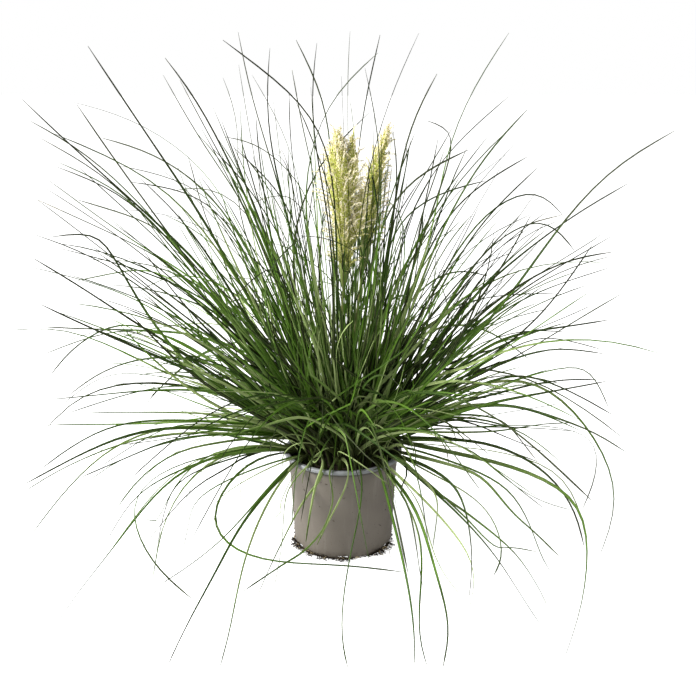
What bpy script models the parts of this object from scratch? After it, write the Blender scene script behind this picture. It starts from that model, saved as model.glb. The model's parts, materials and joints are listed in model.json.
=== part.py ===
"""Pampas grass with two plumes, growing in a plain plastic pot.

Metres, +Z up. The origin is the middle of the pot's flat base, and -Y is the front of the plant.
"""

import math
import random
from functools import partial

import bmesh
import bpy
import numpy as np

# Pot
POT_HEIGHT = 0.157
LIP_RADIUS = 0.095
LIP_HEIGHT = 0.0055
LIP_EDGE = 0.0014
WALL_TOP_RADIUS = 0.0885
WALL_BASE_RADIUS = 0.080
WALL = 0.0015
BASE_CORNER = 0.003
POT_STEPS = 32
SHARP_ANGLE = math.radians(35)
DRAIN_OPENINGS = 6
DRAIN_WIDTH = 0.015
DRAIN_DEPTH = 0.012
DRAIN_HEIGHT = 0.006
DRAIN_MARGIN = 0.002

# Matted roots that have grown out of the drain openings and lie round the pot's foot. A clump is where
# it stands round the pot and how far it spreads, in degrees. The rolls are shares of depth and height.
FRINGE_STEPS = 30
FRINGE_GAP = 0.0006
FRINGE_LEAST = (0.0015, 0.003)
FRINGE_MOST = (0.0055, 0.012)
FRINGE_CLUMPS = ((200, 14), (232, 16), (262, 20), (318, 22), (75, 18), (130, 12))
CLUMP_ROLL = (0.35, 1.0)
FRINGE_TOE_ROLL = (0.8, 1.3)
FRINGE_BELLY_ROLL = (0.4, 1.0)
FRINGE_BELLY_HEIGHT_ROLL = (0.45, 0.75)
ROOT_PLUG_WIDTH = 0.009
ROOT_PLUG_LEVELS = (0.0004, 0.0034)
ROOT_PLUG_REACH = (0.0788, 0.0825)

# Soil and crown. A ring of shoots is its radius, how many stand in it and the length of their sheaths.
GAP = 0.0003
SOIL_LEVEL = 0.137
SOIL_EDGE_DROP = 0.003
CROWN_RADIUS = 0.062
FOOT_LEVEL = SOIL_LEVEL + GAP
CROWN_RINGS = ((0.019, 6, 0.042), (0.032, 10, 0.042), (0.045, 13, 0.037), (0.057, 15, 0.029))

# Sheaths
SHEATH_RADIUS = 0.0042
SHEATH_TOP_RADIUS = 0.003
SHEATH_SIDES = 5
SHEATH_TURN = 0.3
TILLER_GREENS = ((0.10, 0.20, 0.04), (0.13, 0.25, 0.05), (0.08, 0.16, 0.035))

# Leaves: the shape of a blade, and the stretches that its length is divided into
WIDTH_UNIT = 0.001
NECK_WIDTH = 0.6
NECK_GROWTH = 3.0
TAPER_POWER = 0.6
KEEL_DEPTH = 0.2
KEEL_LEAST = 0.0005
LEVELLING = 0.5
CURVE_STEPS = 12
BEND_PER_SEGMENT = math.radians(36)
FEWEST_SEGMENTS = 5
MOST_SEGMENTS = 10
LENGTH_PER_RADIAN = 0.05
SHARPEST_TURN = math.radians(50)

# Leaves: how they leave the sheath, clear the rim and one another, and lie on the ground
LEAF_ASIDE = 0.0012
FIRST_LEAF_RISE = 0.45
NEXT_LEAF_RISE = 0.12
LYING_HEIGHT = 0.0012
LEAF_CLEARANCE = 0.0004
RIM_ROOM = 0.006
RIM_SAMPLES = 30
DEPTH_GROWTH = 1.35
DEPTH_STEP = 0.004
SHIFT_STEP = 0.006
SHIFTS = [0.0] + [side * SHIFT_STEP * step for step in range(1, 25) for side in (1, -1)]

# Where the plant is seen from: places that its leaves and plumes run through were read off that view
EYE = np.array((0.008, -1.346, 0.737))
EYE_PITCH = math.radians(17)
FOCAL_PIXELS = 900
PICTURE_MIDDLE = 348
CROWN_SIGHTING = (345, 440)

# Plumes, each from its base to its tip: places in the picture, how far in front of the axis, core radii
LEFT_PLUME = ((345, 262), (344, 243), (342, 208), (339, 168), (337, 134))
LEFT_PLUME_TOWARD = 0.015
LEFT_PLUME_RADII = (0.004, 0.014, 0.0215, 0.017, 0.004)
LEFT_LOBE = ((349, 246), (358, 218), (362, 192))
LEFT_LOBE_RADII = (0.006, 0.010, 0.003)
RIGHT_PLUME = ((365, 247), (368, 225), (373, 190), (380, 156), (387, 132))
RIGHT_PLUME_TOWARD = -0.045
RIGHT_PLUME_RADII = (0.003, 0.011, 0.0155, 0.012, 0.003)
PLUME_SIDES = 8
PLUME_RINGS = 7
LEFT_LOCKS = 38
LOBE_LOCKS = 6
RIGHT_LOCKS = 40
LOCK_SHARES = (0.06, 0.98)
LOCK_SIDES = 3
LOCK_RADIUS = 0.0042
LOCK_WAIST = 0.75
LOCK_LENGTH = (0.030, 0.042)
LOCK_LEAN = (0.28, 0.55)
LOCK_LEAN_LOSS = 0.5
LOCK_CURL = 0.25
LOCK_STAND_OFF = 0.008
GOLDEN_ANGLE = math.pi * (3 - math.sqrt(5))

# Plume stems
LEFT_STEM_FOOT = (-0.008, 0.004)
RIGHT_STEM_FOOT = (0.010, 0.007)
STEM_RADIUS = 0.0021
STEM_BEVEL_RESOLUTION = 1
STEM_STATIONS = 6
STEM_UPRIGHT_SHARE = 0.35
STEM_TOP_GAP = 0.0006

# Each row is one leaf: how far its tip stands in front of the pot's axis, its greatest width in
# millimetres, and the places in the picture that it runs through, tip first.
UPPER_LEFT_LEAVES = (
    (0.06, 5, (22, 99), (60, 136), (100, 171), (132, 200), (160, 226), (200, 262)),
    (-0.10, 4, (30, 121), (58, 134), (100, 164), (140, 203), (160, 225)),
    (-0.22, 4, (58, 162), (90, 175), (128, 196)),
    (0.14, 5, (88, 46), (118, 90), (140, 125), (163, 158), (200, 212), (228, 262)),
    (-0.05, 4, (77, 105), (100, 140), (132, 184), (170, 236)),
    (-0.18, 4, (68, 101), (100, 107), (137, 120), (160, 133), (200, 163), (225, 195)),
    (-0.30, 4, (102, 138), (140, 147), (180, 168), (225, 210)),
    (-0.12, 5, (48, 180), (75, 200), (100, 219), (150, 253), (210, 290)),
    (0.02, 5, (45, 188), (80, 210), (110, 230), (140, 252), (195, 300)),
    (0.12, 5, (36, 199), (60, 217), (80, 233), (120, 262), (160, 298)),
    (0.16, 5, (33, 234), (60, 240), (90, 254), (115, 268), (160, 300)),
    (0.10, 5, (33, 258), (60, 273), (100, 299), (130, 320), (160, 337), (200, 365), (230, 385)),
    (-0.08, 5, (30, 267), (60, 274), (110, 288), (160, 312)),
    (0.20, 5, (52, 237), (75, 231), (101, 230), (112, 255), (137, 300), (165, 343), (200, 378), (220, 395)),
    (-0.28, 4, (78, 200), (120, 213), (160, 227)),
    (-0.32, 4, (75, 281), (120, 272), (158, 268)),
)
LOWER_LEFT_LEAVES = (
    (0.14, 6, (40, 304), (60, 314), (100, 332), (130, 345), (190, 370), (220, 385)),
    (-0.14, 5, (43, 327), (80, 329), (130, 330), (190, 333), (220, 340)),
    (-0.22, 5, (50, 376), (60, 358), (97, 330), (130, 320), (165, 308), (230, 310)),
    (-0.05, 5, (68, 396), (80, 383), (100, 371), (125, 360), (150, 356), (200, 358)),
    (0.05, 5, (51, 399), (80, 397), (140, 390), (200, 389), (230, 393)),
    (-0.10, 5, (48, 425), (100, 424), (150, 424), (180, 421), (230, 421)),
    (0.18, 6, (25, 484), (45, 472), (70, 460), (100, 444), (125, 434), (180, 426), (220, 430)),
    (0.05, 5, (40, 470), (60, 453), (80, 440), (100, 429), (120, 422), (180, 420)),
    (0.16, 5, (30, 537), (42, 520), (56, 500), (72, 482), (90, 463), (110, 447), (155, 428)),
    (0.20, 5, (80, 478), (100, 469), (130, 457), (160, 443), (180, 437)),
    (0.28, 5, (106, 543), (118, 520), (130, 500), (150, 484), (170, 475), (215, 457)),
    (0.22, 4, (157, 550), (161, 522), (167, 500), (178, 480), (193, 445)),
    (0.30, 4, (192, 599), (165, 580), (145, 555), (130, 520), (130, 500), (140, 483), (160, 470), (200, 457)),
    (0.27, 5, (54, 628), (80, 590), (100, 565), (132, 526), (158, 487), (205, 457)),
    (0.25, 4, (157, 587), (180, 573), (220, 543), (240, 522), (290, 465)),
    (0.33, 6, (167, 668), (182, 634), (195, 610), (224, 559), (240, 525), (277, 450)),
    (0.34, 6, (220, 668), (226, 650), (233, 619), (246, 552), (277, 486), (297, 463), (311, 448)),
    (0.17, 4, (403, 572), (348, 563), (294, 565), (265, 563), (226, 550), (206, 519), (213, 500), (250, 455)),
)
TOP_LEAVES = (
    (0.05, 5, (165, 58), (185, 80), (200, 103), (223, 150), (260, 228)),
    (-0.15, 4, (163, 75), (190, 125), (220, 170), (248, 210)),
    (0.08, 5, (223, 40), (260, 67), (295, 92), (320, 122), (332, 152)),
    (-0.10, 5, (238, 32), (241, 55), (248, 88), (258, 120), (275, 175), (290, 228)),
    (0.15, 5, (270, 48), (267, 75), (265, 110), (274, 165), (290, 225)),
    (-0.25, 4, (223, 78), (234, 98), (241, 140), (235, 210)),
    (0.12, 4, (271, 153), (281, 151), (289, 163), (297, 205)),
    (-0.05, 4, (296, 40), (310, 65), (327, 105), (330, 125)),
    (0.12, 5, (317, 43), (312, 68), (310, 95), (312, 125), (322, 185), (330, 215)),
    (-0.20, 4, (292, 70), (300, 120), (306, 145), (320, 205)),
    (-0.30, 4, (289, 92), (288, 120), (294, 175), (298, 205)),
    (-0.35, 4, (225, 137), (255, 140), (285, 167), (308, 192)),
    (-0.15, 4, (350, 30), (347, 55), (348, 132)),
    (0.20, 5, (378, 53), (347, 77), (325, 103), (312, 140), (303, 200)),
    (-0.12, 4, (380, 35), (374, 57), (362, 115), (357, 150)),
    (0.12, 5, (365, 68), (376, 110), (381, 150), (382, 180)),
    (0.08, 5, (419, 33), (400, 72), (383, 115), (370, 165), (362, 200)),
    (-0.05, 5, (437, 74), (415, 112), (402, 155), (392, 225)),
    (0.10, 5, (509, 33), (475, 82), (453, 128), (442, 170), (435, 228)),
    (-0.20, 4, (509, 96), (475, 124), (447, 152), (410, 210)),
    (0.16, 5, (428, 121), (445, 121), (458, 133), (457, 145), (440, 190), (430, 215)),
    (-0.15, 4, (452, 128), (425, 175), (395, 225)),
    (0.00, 4, (527, 110), (495, 142), (470, 178), (442, 228)),
    (-0.25, 4, (527, 157), (486, 180), (455, 205), (440, 225)),
    (-0.30, 5, (485, 181), (445, 190), (405, 213), (393, 228)),
    (0.15, 4, (468, 150), (425, 168), (397, 193), (385, 212)),
    (-0.36, 4, (405, 142), (411, 152), (402, 180), (398, 200)),
)
RIGHT_LEAVES = (
    (0.10, 5, (675, 131), (630, 153), (595, 182), (565, 218), (520, 283), (493, 320)),
    (-0.05, 5, (627, 184), (580, 210), (530, 247), (470, 298)),
    (0.05, 4, (537, 168), (505, 197), (475, 230)),
    (-0.20, 4, (564, 217), (552, 198), (538, 188), (505, 197), (470, 228)),
    (-0.15, 5, (574, 250), (558, 225), (535, 217), (505, 233), (475, 258)),
    (0.08, 5, (612, 252), (570, 257), (520, 284), (480, 312)),
    (-0.10, 5, (611, 267), (565, 281), (520, 299), (500, 310)),
    (-0.22, 4, (604, 233), (565, 258), (520, 285)),
    (0.12, 5, (592, 245), (568, 280), (537, 320)),
    (-0.28, 4, (516, 251), (480, 264), (470, 275)),
    (0.00, 6, (608, 320), (560, 328), (500, 338)),
    (-0.15, 4, (594, 304), (555, 322), (530, 330)),
    (0.05, 5, (604, 354), (578, 349), (552, 347), (530, 352), (500, 364), (465, 380)),
    (0.15, 6, (607, 381), (570, 388), (530, 395), (500, 400), (470, 408)),
    (-0.10, 5, (599, 380), (575, 378), (540, 382), (503, 392), (470, 400)),
    (0.05, 5, (613, 415), (592, 401), (559, 386), (517, 372), (481, 365)),
    (0.20, 6, (626, 452), (603, 434), (570, 422), (537, 411), (501, 402)),
    (0.10, 5, (597, 562), (614, 532), (622, 500), (619, 478), (600, 440), (578, 413), (559, 390), (517, 373)),
    (0.33, 6, (561, 668), (583, 610), (590, 570), (591, 537), (586, 502), (548, 477), (514, 464), (437, 450)),
    (0.15, 5, (584, 546), (581, 521), (565, 490), (537, 463), (503, 446), (470, 439), (437, 439)),
    (0.20, 5, (572, 510), (555, 507), (537, 501), (510, 483), (485, 461), (463, 443)),
    (0.25, 5, (559, 556), (533, 528), (515, 518), (503, 501), (493, 487), (483, 474), (455, 466)),
    (0.22, 5, (551, 572), (543, 565), (534, 530), (515, 492), (500, 480), (450, 460)),
    (0.30, 5, (494, 575), (504, 563), (503, 541), (497, 521), (481, 501), (459, 486), (432, 474)),
    (0.35, 5, (543, 628), (517, 590), (503, 563), (477, 532), (459, 512), (430, 487), (413, 472), (397, 458)),
    (0.33, 5, (469, 601), (473, 575), (473, 545), (468, 515), (458, 485), (437, 437)),
)
FRONT_LEAVES = (
    (0.37, 6, (428, 668), (419, 650), (417, 620), (424, 540), (427, 460), (433, 400), (412, 382), (375, 400)),
    (0.38, 8, (415, 668), (415, 625), (410, 590), (403, 555), (393, 515), (385, 485), (383, 470)),
    (0.32, 5, (443, 668), (448, 650), (452, 632), (448, 610), (432, 560), (419, 510), (416, 465)),
    (0.20, 4, (433, 548), (437, 520), (438, 495), (433, 455)),
    (0.12, 5, (306, 542), (309, 520), (314, 495), (316, 482), (325, 465), (333, 445)),
    (0.30, 5, (244, 591), (283, 565), (306, 550), (324, 529), (333, 503), (333, 492), (330, 474), (336, 440)),
    (0.14, 5, (317, 545), (322, 533), (335, 510), (345, 492), (349, 475), (348, 460), (340, 442)),
    (0.34, 5, (348, 668), (341, 650), (341, 620), (349, 560), (361, 512), (365, 486), (362, 470), (366, 434)),
    (0.20, 4, (273, 592), (281, 560), (284, 520), (286, 490), (289, 465), (300, 450)),
)
SIGHTED_LEAVES = UPPER_LEFT_LEAVES + LOWER_LEFT_LEAVES + TOP_LEAVES + RIGHT_LEAVES + FRONT_LEAVES

# Leaves that point away from that view or straight towards it: heading in degrees, length, and droop
ARCHING_LEAVES = (
    (45, 0.62, 0.52),
    (58, 0.66, 0.30),
    (72, 0.66, 0.45),
    (86, 0.62, 0.25),
    (97, 0.66, 0.50),
    (108, 0.60, 0.35),
    (122, 0.64, 0.42),
    (141, 0.58, 0.62),
    (-128, 0.50, 0.36),
    (-112, 0.54, 0.44),
    (-97, 0.46, 0.40),
    (-80, 0.52, 0.50),
    (-66, 0.48, 0.34),
    (-48, 0.54, 0.42),
)
ARCHING_LEAF_WIDTH = 5

# An arching leaf's path: shares of its length, then how far out and up it has gone by then
ARCH_STATIONS = (0.35, 0.6, 0.8, 1.0)
ARCH_OUT = 0.45
ARCH_OUT_GROWTH = 0.4
ARCH_UP = 0.95
ARCH_FALL = 0.35
ARCH_FALL_POWER = 2.2


def sighted(place, toward):
    """The point seen at this place in the picture, so far in front of the pot's axis, or lying on the ground."""
    across = (place[0] - PICTURE_MIDDLE) / FOCAL_PIXELS
    above = (PICTURE_MIDDLE - place[1]) / FOCAL_PIXELS
    forward = math.cos(EYE_PITCH) + above * math.sin(EYE_PITCH)
    upward = above * math.cos(EYE_PITCH) - math.sin(EYE_PITCH)
    sight = np.array((across, forward, upward))
    point = EYE + sight * (-toward - EYE[1]) / sight[1]
    if point[2] < LYING_HEIGHT:
        point = EYE + sight * (LYING_HEIGHT - EYE[2]) / sight[2]
    return point


def in_pot(point):
    """Whether a point lies in the pot or close round its rim."""
    return math.hypot(point[0], point[1]) < LIP_RADIUS + RIM_ROOM and point[2] < POT_HEIGHT + RIM_ROOM


def sighted_points(toward, places, shift, foot):
    """The points that a leaf runs through after its sheath, from its base to its tip, over the pot's rim."""
    places = np.array(places[::-1], float)
    steps = np.diff(places, axis=0, prepend=[CROWN_SIGHTING])
    along = np.cumsum(np.linalg.norm(steps, axis=1))
    growth = toward + shift + foot[1]
    depths = growth * (along / along[-1]) ** DEPTH_GROWTH - foot[1]
    points = []
    nearest = -1.0
    for place, depth in zip(places, depths):
        depth = max(depth, nearest)
        while in_pot(sighted(place, depth)):
            depth += DEPTH_STEP
            nearest = depth
        points.append(sighted(place, depth))
    return np.array(points)


def arching_points(heading, length, droop, shift, foot):
    """The same for a leaf that rises over the crown and arches down to its tip."""
    outward = np.array((math.cos(heading + shift), math.sin(heading + shift), 0.0))
    points = []
    for share in ARCH_STATIONS:
        out = length * (ARCH_OUT * share + ARCH_OUT_GROWTH * share**2)
        up = length * (ARCH_UP * share - (ARCH_FALL + droop) * share**ARCH_FALL_POWER)
        points.append(outward * out + np.array((0.0, 0.0, foot[2] + up)))
    return np.array(points)


def smooth_curve(points):
    """Many points on a smooth curve through these (a centripetal Catmull-Rom spline), and the length up to each."""
    ends = np.vstack((2 * points[0] - points[1], points, 2 * points[-1] - points[-2]))
    knots = np.concatenate(([0.0], np.cumsum(np.linalg.norm(np.diff(ends, axis=0), axis=1) ** 0.5)))
    curve = [points[0]]
    for index in range(1, len(ends) - 2):
        p0, p1, p2, p3 = ends[index - 1 : index + 3]
        t0, t1, t2, t3 = knots[index - 1 : index + 3]
        for t in np.linspace(t1, t2, CURVE_STEPS + 1)[1:]:
            a1 = ((t1 - t) * p0 + (t - t0) * p1) / (t1 - t0)
            a2 = ((t2 - t) * p1 + (t - t1) * p2) / (t2 - t1)
            a3 = ((t3 - t) * p2 + (t - t2) * p3) / (t3 - t2)
            b1 = ((t2 - t) * a1 + (t - t0) * a2) / (t2 - t0)
            b2 = ((t3 - t) * a2 + (t - t1) * a3) / (t3 - t1)
            curve.append(((t2 - t) * b1 + (t - t1) * b2) / (t2 - t1))
    curve = np.array(curve)
    curve[:, 2] = np.maximum(curve[:, 2], LYING_HEIGHT)
    along = np.concatenate(([0.0], np.cumsum(np.linalg.norm(np.diff(curve, axis=0), axis=1))))
    return curve, along


def evenly_spaced(curve, along, count):
    """So many points on a path, with equal steps of the given measure between them."""
    wanted = np.linspace(0.0, along[-1], count)
    return np.column_stack([np.interp(wanted, along, curve[:, axis]) for axis in range(3)])


def turn_between(step, next_step):
    """The angle between two directions."""
    return math.acos(np.clip(step @ next_step / np.linalg.norm(step) / np.linalg.norm(next_step), -1.0, 1.0))


def bend_so_far(curve):
    """At each point of a path, the sum of the angles that it has turned through."""
    steps = np.diff(curve, axis=0)
    steps /= np.linalg.norm(steps, axis=1)[:, None]
    angles = np.arccos(np.clip((steps[1:] * steps[:-1]).sum(axis=1), -1.0, 1.0))
    return np.concatenate(([0.0], np.cumsum(angles), [angles.sum()]))


def leaf_width(share, width):
    """The blade's width so far along it: narrowed into the sheath, then one long taper to a hair."""
    return width * min(1.0, NECK_WIDTH + NECK_GROWTH * share) * (1.0 - share) ** TAPER_POWER


class Room:
    """The room that the leaves, sheaths, stems and plumes placed so far take up, as tapering straight runs."""

    def __init__(self):
        self.starts = np.empty((0, 3))
        self.ends = np.empty((0, 3))
        self.start_radii = np.empty(0)
        self.end_radii = np.empty(0)
        self.owners = np.empty(0, int)

    def add(self, points, radii, owner):
        """Takes up the room of one more run."""
        points, radii = np.asarray(points, float), np.asarray(radii, float)
        self.starts = np.vstack((self.starts, points[:-1]))
        self.ends = np.vstack((self.ends, points[1:]))
        self.start_radii = np.concatenate((self.start_radii, radii[:-1]))
        self.end_radii = np.concatenate((self.end_radii, radii[1:]))
        self.owners = np.concatenate((self.owners, np.full(len(points) - 1, owner)))

    def clearance(self, points, radii, owner):
        """The least distance from a new run's surface to what other owners have placed."""
        others = self.owners != owner
        starts, ends = self.starts[others], self.ends[others]
        along = np.diff(points, axis=0)[:, None]
        other_along = (ends - starts)[None]
        apart = points[:-1, None] - starts[None]
        a = (along * along).sum(-1)
        b = (along * other_along).sum(-1)
        c = (other_along * other_along).sum(-1)
        d = (along * apart).sum(-1)
        e = (other_along * apart).sum(-1)
        share = np.clip((b * e - c * d) / np.maximum(a * c - b * b, 1e-15), 0.0, 1.0)
        other_share = np.clip((b * share + e) / c, 0.0, 1.0)
        share = np.clip((b * other_share - d) / a, 0.0, 1.0)
        between = apart + share[..., None] * along - other_share[..., None] * other_along
        radius = radii[:-1, None] * (1 - share) + radii[1:, None] * share
        other_radius = self.start_radii[others] * (1 - other_share) + self.end_radii[others] * other_share
        return (np.linalg.norm(between, axis=-1) - radius - other_radius).min()


def clearance_to_pot(points, radii):
    """The least distance to the upright ring that the pot's wall and lip fill."""
    shares = np.linspace(0.0, len(points) - 1, RIM_SAMPLES * (len(points) - 1) + 1)
    places = np.column_stack([np.interp(shares, range(len(points)), points[:, axis]) for axis in range(3)])
    reach = np.hypot(places[:, 0], places[:, 1])
    inner = WALL_TOP_RADIUS - WALL
    gap = np.maximum.reduce((places[:, 2] - POT_HEIGHT, reach - LIP_RADIUS, inner - reach))
    return (gap - np.interp(shares, range(len(points)), radii)).min()


class Leaf:
    """One blade: its width, and the rule that gives the points it runs through, moved by a small shift."""

    def __init__(self, width, rule):
        self.width = width * WIDTH_UNIT
        self.rule = rule
        points = rule(0.0, np.array((0.0, 0.0, FOOT_LEVEL)))
        middle = points[len(points) // 2]
        self.heading = math.atan2(middle[1], middle[0])
        self.peak = points[:, 2].max()


def all_leaves():
    """Every leaf of the plant."""
    leaves = [Leaf(width, partial(sighted_points, toward, places)) for toward, width, *places in SIGHTED_LEAVES]
    for degrees, length, droop in ARCHING_LEAVES:
        rule = partial(arching_points, math.radians(degrees), length, droop)
        leaves.append(Leaf(ARCHING_LEAF_WIDTH, rule))
    return leaves


class Shoot:
    """Leaves that stand in one sheath, which leans the way that they go."""

    def __init__(self, number, foot, sheath_length, leaves):
        self.number = number
        self.foot = foot
        self.leaves = leaves
        aim = np.mean([leaf.rule(0.0, foot)[0] for leaf in leaves], axis=0) - foot
        lean = aim / np.linalg.norm(aim) + np.array((0.0, 0.0, 1.0))
        self.top = foot + sheath_length * lean / np.linalg.norm(lean)

    def leaf_curve(self, index, shift):
        """A leaf's middle line: out of the sheath, then through its own points without doubling back."""
        angle = 2 * math.pi * index / len(self.leaves)
        aside = LEAF_ASIDE * np.array((math.cos(angle), math.sin(angle), 0.0))
        rise = FIRST_LEAF_RISE + NEXT_LEAF_RISE * index
        start = self.foot + rise * (self.top - self.foot) + aside
        points = self.leaves[index].rule(shift, self.foot)
        while len(points) > 3 and turn_between(points[0] - self.top, points[1] - points[0]) > SHARPEST_TURN:
            points = points[1:]
        return smooth_curve(np.vstack((start, self.top + aside, points)))


def planned_shoots(leaves):
    """Tall leaves share the sheaths near the middle of the crown, and low ones those at its edge."""
    shoots = []
    waiting = sorted(leaves, key=lambda leaf: -leaf.peak)
    sheaths_left = sum(count for radius, count, sheath_length in CROWN_RINGS)
    for radius, count, sheath_length in CROWN_RINGS:
        share = round(len(waiting) * count / sheaths_left)
        ring, waiting = sorted(waiting[:share], key=lambda leaf: leaf.heading), waiting[share:]
        sheaths_left -= count
        turns = [2 * math.pi * index / count for index in range(count)]
        bounds = [round(len(ring) * index / count) for index in range(count + 1)]
        groups = [ring[low:high] for low, high in zip(bounds, bounds[1:])]
        off = sum(np.exp(1j * (leaf.heading - turn)) for turn, group in zip(turns, groups) for leaf in group)
        for turn, group in zip(turns, groups):
            angle = turn + np.angle(off)
            foot = np.array((radius * math.cos(angle), radius * math.sin(angle), FOOT_LEVEL))
            shoots.append(Shoot(len(shoots) + 1, foot, sheath_length, group))
    return shoots


def faceted(leaf, curve, along):
    """A leaf's path as a few straight stretches, shorter where it bends, and its width at each station."""
    bend = bend_so_far(curve)
    stretches = min(max(math.ceil(bend[-1] / BEND_PER_SEGMENT), FEWEST_SEGMENTS), MOST_SEGMENTS)
    spacing = along + LENGTH_PER_RADIAN * bend
    path = evenly_spaced(curve, spacing, stretches + 1)
    shares = np.interp(np.linspace(0.0, spacing[-1], stretches + 1), spacing, along) / along[-1]
    return path, np.array([leaf_width(share, leaf.width) for share in shares])


def settled_leaves(shoots, room):
    """Each leaf's path and widths, its tip moved nearer or further where it would run into something."""
    for shoot in shoots:
        room.add((shoot.foot, shoot.top), (SHEATH_RADIUS, SHEATH_TOP_RADIUS), shoot.number)
    placed = {}
    for shoot in reversed(shoots):
        for index, leaf in enumerate(shoot.leaves):
            best_clear = -1.0
            for shift in SHIFTS:
                path, widths = faceted(leaf, *shoot.leaf_curve(index, shift))
                clear = min(room.clearance(path, widths / 2, shoot.number), clearance_to_pot(path, widths / 2))
                if clear > best_clear:
                    best_clear = clear
                    placed[shoot.number, index] = (path, widths)
                if clear > LEAF_CLEARANCE:
                    break
            path, widths = placed[shoot.number, index]
            room.add(path, widths / 2, shoot.number)
    return placed


def linked(name, data, collection):
    """A new object in this collection."""
    made = bpy.data.objects.new(name, data)
    collection.objects.link(made)
    return made


def finish(name, colour, roughness):
    """A plain Principled material in the part's own colour."""
    made = bpy.data.materials.new(name)
    made.use_nodes = True
    shader = made.node_tree.nodes["Principled BSDF"]
    shader.inputs["Base Color"].default_value = (*colour, 1.0)
    shader.inputs["Roughness"].default_value = roughness
    shader.inputs["Metallic"].default_value = 0.0
    return made


def evaluated_mesh(body):
    """A plain mesh of the body with its modifiers applied."""
    bpy.context.view_layer.update()
    return bpy.data.meshes.new_from_object(body.evaluated_get(bpy.context.evaluated_depsgraph_get()))


def smooth_sides(body):
    """Shades a turned body smooth, with its real edges kept sharp."""
    mesh = evaluated_mesh(body)
    body.modifiers.clear()
    body.data = mesh
    mesh.shade_smooth()
    mesh.set_sharp_from_angle(angle=SHARP_ANGLE)


def turned(name, profile, collection):
    """A round body: its outline from the middle up the inside, down the outside and back to the middle."""
    mesh = bpy.data.meshes.new(name)
    corners = [(radius, 0.0, height) for radius, height in profile]
    mesh.from_pydata(corners, [(index, index + 1) for index in range(len(corners) - 1)], [])
    body = linked(name, mesh, collection)
    screw = body.modifiers.new("turned", "SCREW")
    screw.axis = "Z"
    screw.angle = 2 * math.pi
    screw.steps = POT_STEPS
    screw.render_steps = POT_STEPS
    screw.use_merge_vertices = True
    screw.merge_threshold = 0.0001
    return body


def loft(rings, tip=None):
    """A closed mesh through rings of points, capped at its ends, or drawn to a point at the last."""
    shape = bmesh.new()
    rows = [[shape.verts.new(point) for point in ring] for ring in rings]
    sides = len(rows[0])
    for row, next_row in zip(rows, rows[1:]):
        for side in range(sides):
            beside = (side + 1) % sides
            shape.faces.new((row[side], row[beside], next_row[beside], next_row[side]))
    shape.faces.new(rows[0])
    if tip is None:
        shape.faces.new(rows[-1])
    else:
        end = shape.verts.new(tip)
        for side in range(sides):
            shape.faces.new((rows[-1][side], rows[-1][(side + 1) % sides], end))
    return closed_mesh(shape)


def closed_mesh(shape):
    """A plain mesh of triangles with its faces out."""
    bmesh.ops.triangulate(shape, faces=shape.faces)
    bmesh.ops.recalc_face_normals(shape, faces=shape.faces)
    mesh = bpy.data.meshes.new("closed")
    shape.to_mesh(mesh)
    shape.free()
    return mesh


def joined(meshes):
    """One closed mesh from closed meshes that run into each other."""
    first, *others = [bpy.data.objects.new("piece", mesh) for mesh in meshes]
    pieces = bpy.data.collections.new("pieces")
    bpy.context.scene.collection.children.link(pieces)
    bpy.context.scene.collection.objects.link(first)
    for piece in others:
        pieces.objects.link(piece)
    union = first.modifiers.new("union", "BOOLEAN")
    union.operation = "UNION"
    union.solver = "EXACT"
    union.operand_type = "COLLECTION"
    union.collection = pieces
    mesh = evaluated_mesh(first)
    for piece in (first, *others):
        bpy.data.objects.remove(piece)
    bpy.data.collections.remove(pieces)
    return mesh


def wall_radius(height):
    """The pot wall's outer radius at this height."""
    share = height / (POT_HEIGHT - LIP_HEIGHT)
    return WALL_BASE_RADIUS + (WALL_TOP_RADIUS - WALL_BASE_RADIUS) * share


def drain_angle(index):
    """Where a drain opening stands round the pot."""
    return 2 * math.pi * (index + 0.5) / DRAIN_OPENINGS


def build_pot(parts, cutters):
    """A thin moulded pot with a turned-out lip and openings where its wall meets its floor."""
    under_lip = POT_HEIGHT - LIP_HEIGHT
    profile = (
        (0.0, WALL),
        (WALL_BASE_RADIUS - WALL - BASE_CORNER, WALL),
        (wall_radius(BASE_CORNER) - WALL, WALL + BASE_CORNER),
        (WALL_TOP_RADIUS - WALL, under_lip),
        (WALL_TOP_RADIUS, POT_HEIGHT - LIP_EDGE),
        (WALL_TOP_RADIUS + LIP_EDGE, POT_HEIGHT),
        (LIP_RADIUS - LIP_EDGE, POT_HEIGHT),
        (LIP_RADIUS, POT_HEIGHT - LIP_EDGE),
        (LIP_RADIUS, under_lip),
        (WALL_TOP_RADIUS, under_lip),
        (wall_radius(BASE_CORNER), BASE_CORNER),
        (WALL_BASE_RADIUS - BASE_CORNER, 0.0),
        (0.0, 0.0),
    )
    pot = turned("pot", profile, parts)
    drain_middle = WALL_BASE_RADIUS - DRAIN_DEPTH / 2 + DRAIN_MARGIN
    for index in range(DRAIN_OPENINGS):
        shape = bmesh.new()
        bmesh.ops.create_cube(shape, size=1.0)
        bmesh.ops.scale(shape, verts=shape.verts, vec=(DRAIN_DEPTH, DRAIN_WIDTH, DRAIN_HEIGHT * 2))
        cutter = linked(f"drain_cutter_{index + 1}", closed_mesh(shape), cutters)
        angle = drain_angle(index)
        cutter.location = (drain_middle * math.cos(angle), drain_middle * math.sin(angle), 0.0)
        cutter.rotation_euler = (0.0, 0.0, angle)
        cutter.hide_render = True
        cutter.display_type = "WIRE"
        cut = pot.modifiers.new(f"drain_{index + 1}", "BOOLEAN")
        cut.operation = "DIFFERENCE"
        cut.solver = "EXACT"
        cut.object = cutter
    smooth_sides(pot)
    pot.data.materials.append(finish("pot_plastic", (0.22, 0.20, 0.17), 0.45))


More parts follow.
